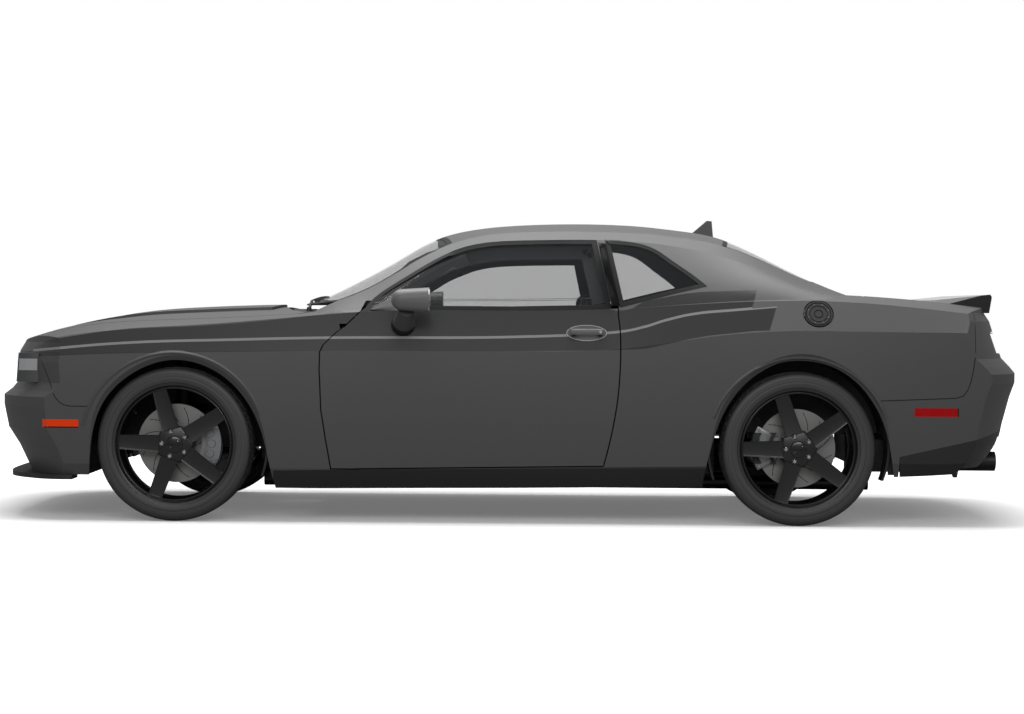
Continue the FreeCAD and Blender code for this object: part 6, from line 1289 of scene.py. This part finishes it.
DASH_FACE_X, DRIVER_Y = -0.560, -0.370
VENTS, VENT_X, VENT_Z, VENT_RADIUS = (-0.60, -0.14, 0.14, 0.60), 0.022, 0.845, 0.029
VENT_RING = [(-0.010, 0.036), (0.004, 0.036), (0.006, 0.033), (0.004, 0.030), (-0.006, 0.029)]
SLATS, SLAT_FRONT, SLAT_BACK, SLAT_HALF = (-0.018, -0.009, 0.0, 0.009, 0.018), 0.016, 0.024, 0.001
HOOD_HALF, DIAL_Y, DIAL_X, DIAL_Z = 0.165, 0.070, -0.5135, 0.905
DIAL = [(0.0, 0.052), (0.004, 0.052), (0.006, 0.049), (0.002, 0.046), (0.001, 0.001)]
CARD_OUTER, CARD_FACE, ARMREST_FACE, POCKET_FACE = 0.8335, 0.8255, 0.765, 0.795
SPEAKER_X, SPEAKER_Z, SPEAKER_RINGS = -0.430, 0.600, (0.078, 0.052, 0.026)
SPEAKER_RING = [(0.0, 0.0), (-0.004, -0.002), (-0.004, -0.008), (0.0, -0.010)]
PULL_X, PULL_Y, PULL_RADIUS, POST_Z, PULL_POST_RADIUS = (-0.250, -0.150), 0.800, 0.007, 0.847, 0.008

with modelled("dash_vents", gloss_abs, "body", "dash_plastic") as shape:
    for y in VENTS:
        turned(shape, VENT_RING, (DASH_FACE_X + VENT_X, y, VENT_Z), 40, 1)
        for lift in SLATS:
            reach, z = math.sqrt(VENT_RADIUS ** 2 - lift ** 2), VENT_Z + lift
            block(shape, (DASH_FACE_X + SLAT_FRONT, y - reach, z - SLAT_HALF),
                  (DASH_FACE_X + SLAT_BACK, y + reach, z + SLAT_HALF), 0.0004)
with modelled("instrument_hood", soft_skin, "body", "dash_plastic") as shape:
    hexahedron(shape, (-0.640, -0.515), (0.905, 0.962), spread_of(DRIVER_Y, HOOD_HALF), -0.030, 0.030, 0.014)
with modelled("instrument_dials", gloss_abs, "body", "dash_plastic") as shape:
    for y in spread_of(DRIVER_Y, DIAL_Y):
        turned(shape, DIAL, (DIAL_X, y, DIAL_Z), 48, 1)
with modelled("centre_screen", gloss_abs, "body", "dash_plastic") as shape:
    block(shape, (DASH_FACE_X - 0.002, -0.105, 0.700), (DASH_FACE_X + 0.012, 0.105, 0.815), 0.004)
with modelled("gear_lever", gloss_abs, "body", "dash_plastic") as shape:
    rod(shape, (-0.110, 0.0, 0.640), (-0.120, 0.0, 0.720), 0.011, 16, 0.009)
    hexahedron(shape, (-0.145, -0.095), (0.712, 0.752), (-0.024, 0.024), 0.0, 0.005, 0.014)
with modelled("console_armrest", seat_leather, "body", "seat_leather") as shape:
    hexahedron(shape, (0.020, 0.285), (0.612, 0.668), (-0.105, 0.105), 0.0, 0.006, 0.018)
with modelled("cabin_mirror", black_abs, "body", "dash_plastic") as shape:
    rod(shape, (-0.330, 0.0, 1.335), (-0.300, 0.0, 1.280), 0.010)
    hexahedron(shape, (-0.305, -0.280), (1.235, 1.290), (-0.120, 0.120), 0.0, 0.010, 0.009)
for side_name, side in SIDES:
    body = f"door_{side_name}"
    with modelled(f"door_card_{side_name}", soft_skin, body, "dash_plastic") as shape:
        low_y, high_y = sorted((side * CARD_OUTER, side * CARD_FACE))
        block(shape, (-0.560, low_y, 0.420), (0.400, high_y, 0.955), 0.003)
        armrest, pocket = (side * CARD_FACE, side * ARMREST_FACE), (side * CARD_FACE, side * POCKET_FACE)
        hexahedron(shape, (-0.330, 0.250), (0.660, 0.715), armrest, 0.0, 0.004, 0.016)
        hexahedron(shape, (-0.480, 0.330), (0.470, 0.520), pocket, 0.0, 0.004, 0.012)
    with modelled(f"door_speaker_{side_name}", black_abs, body, "dash_plastic") as shape:
        for radius in SPEAKER_RINGS:
            lathe(shape, [(side * lift, radius + more) for lift, more in SPEAKER_RING],
                  (SPEAKER_X, side * CARD_FACE, SPEAKER_Z), 48)
    with modelled(f"door_pull_{side_name}", chrome, body, "steel") as shape:
        rod(shape, (PULL_X[0], side * PULL_Y, 0.845), (PULL_X[1], side * PULL_Y, 0.850), PULL_RADIUS)
        for x in PULL_X:
            rod(shape, (x, side * 0.826, POST_Z), (x, side * 0.798, POST_Z), PULL_POST_RADIUS)


# Stage, camera and light

bpy.ops.mesh.primitive_plane_add(size=60, location=(0, 0, 0))
floor = bpy.context.object
floor.name = "studio_floor"
paper = new_material("matt_studio_paper")
seen = add(paper, "ShaderNodeLightPath").outputs["Is Camera Ray"]
tint = mixed(paper, seen, linear("#878787"), linear("#ececec"))
matt = add(paper, "ShaderNodeBsdfDiffuse", {"Color": tint})
ground = add(paper, "ShaderNodeTexCoord").outputs["Object"]
distance = add(paper, "ShaderNodeVectorMath", {"operation": "LENGTH", 0: ground}).outputs["Value"]
far = ranged(paper, distance, 0.16, 1.0, first=2.6, last=6.0)
glow = maths(paper, "MULTIPLY", seen, far)
lift = add(paper, "ShaderNodeEmission", {"Color": (1, 1, 1, 1), "Strength": glow})
close(paper, add(paper, "ShaderNodeAddShader", {0: matt.outputs[0], 1: lift.outputs[0]}))
floor.data.materials.append(paper)

world = bpy.data.worlds.new("white_studio")
bpy.context.scene.world = world
world.use_nodes = True
world.node_tree.nodes.clear()
ray = add(world, "ShaderNodeLightPath").outputs
seen = maths(world, "MAXIMUM", ray["Is Camera Ray"], ray["Is Transmission Ray"])
sky = add(world, "ShaderNodeBackground", {"Color": (1, 1, 1, 1), "Strength": ranged(world, seen, 0.42, 1.0)})
add(world, "ShaderNodeOutputWorld", {"Surface": sky.outputs[0]})


def soft_lamp(name, spot, target, size, power):
    lamp = bpy.data.lights.new(name, "AREA")
    lamp.shape = "RECTANGLE"
    lamp.size, lamp.size_y = size
    lamp.energy = power
    holder = bpy.data.objects.new(name, lamp)
    bpy.context.scene.collection.objects.link(holder)
    holder.location = spot
    holder.rotation_euler = (Vector(target) - Vector(spot)).to_track_quat("-Z", "Y").to_euler()


soft_lamp("overhead_softbox", (0, 0, 5.5), (0, 0, 0), (7.0, 4.0), 570)
soft_lamp("side_softbox", (0, -9, 4.0), (0, 0, 0.6), (8.0, 2.5), 290)

CAMERA_SPOT, CAMERA_DOWN_DEGREES, CAMERA_ROLL = (0.015, -12.0, 1.0), 1.09, 0.0085
camera_data = bpy.data.cameras.new("camera")
camera_data.lens = 82.7
camera_data.sensor_width = 36.0
camera = bpy.data.objects.new("camera", camera_data)
bpy.context.scene.collection.objects.link(camera)
camera.matrix_world = (Matrix.Translation(CAMERA_SPOT)
                       @ Matrix.Rotation(math.radians(90 - CAMERA_DOWN_DEGREES), 4, "X")
                       @ Matrix.Rotation(CAMERA_ROLL, 4, "Z"))
bpy.context.scene.camera = camera
bpy.context.scene.view_settings.view_transform = "Standard"
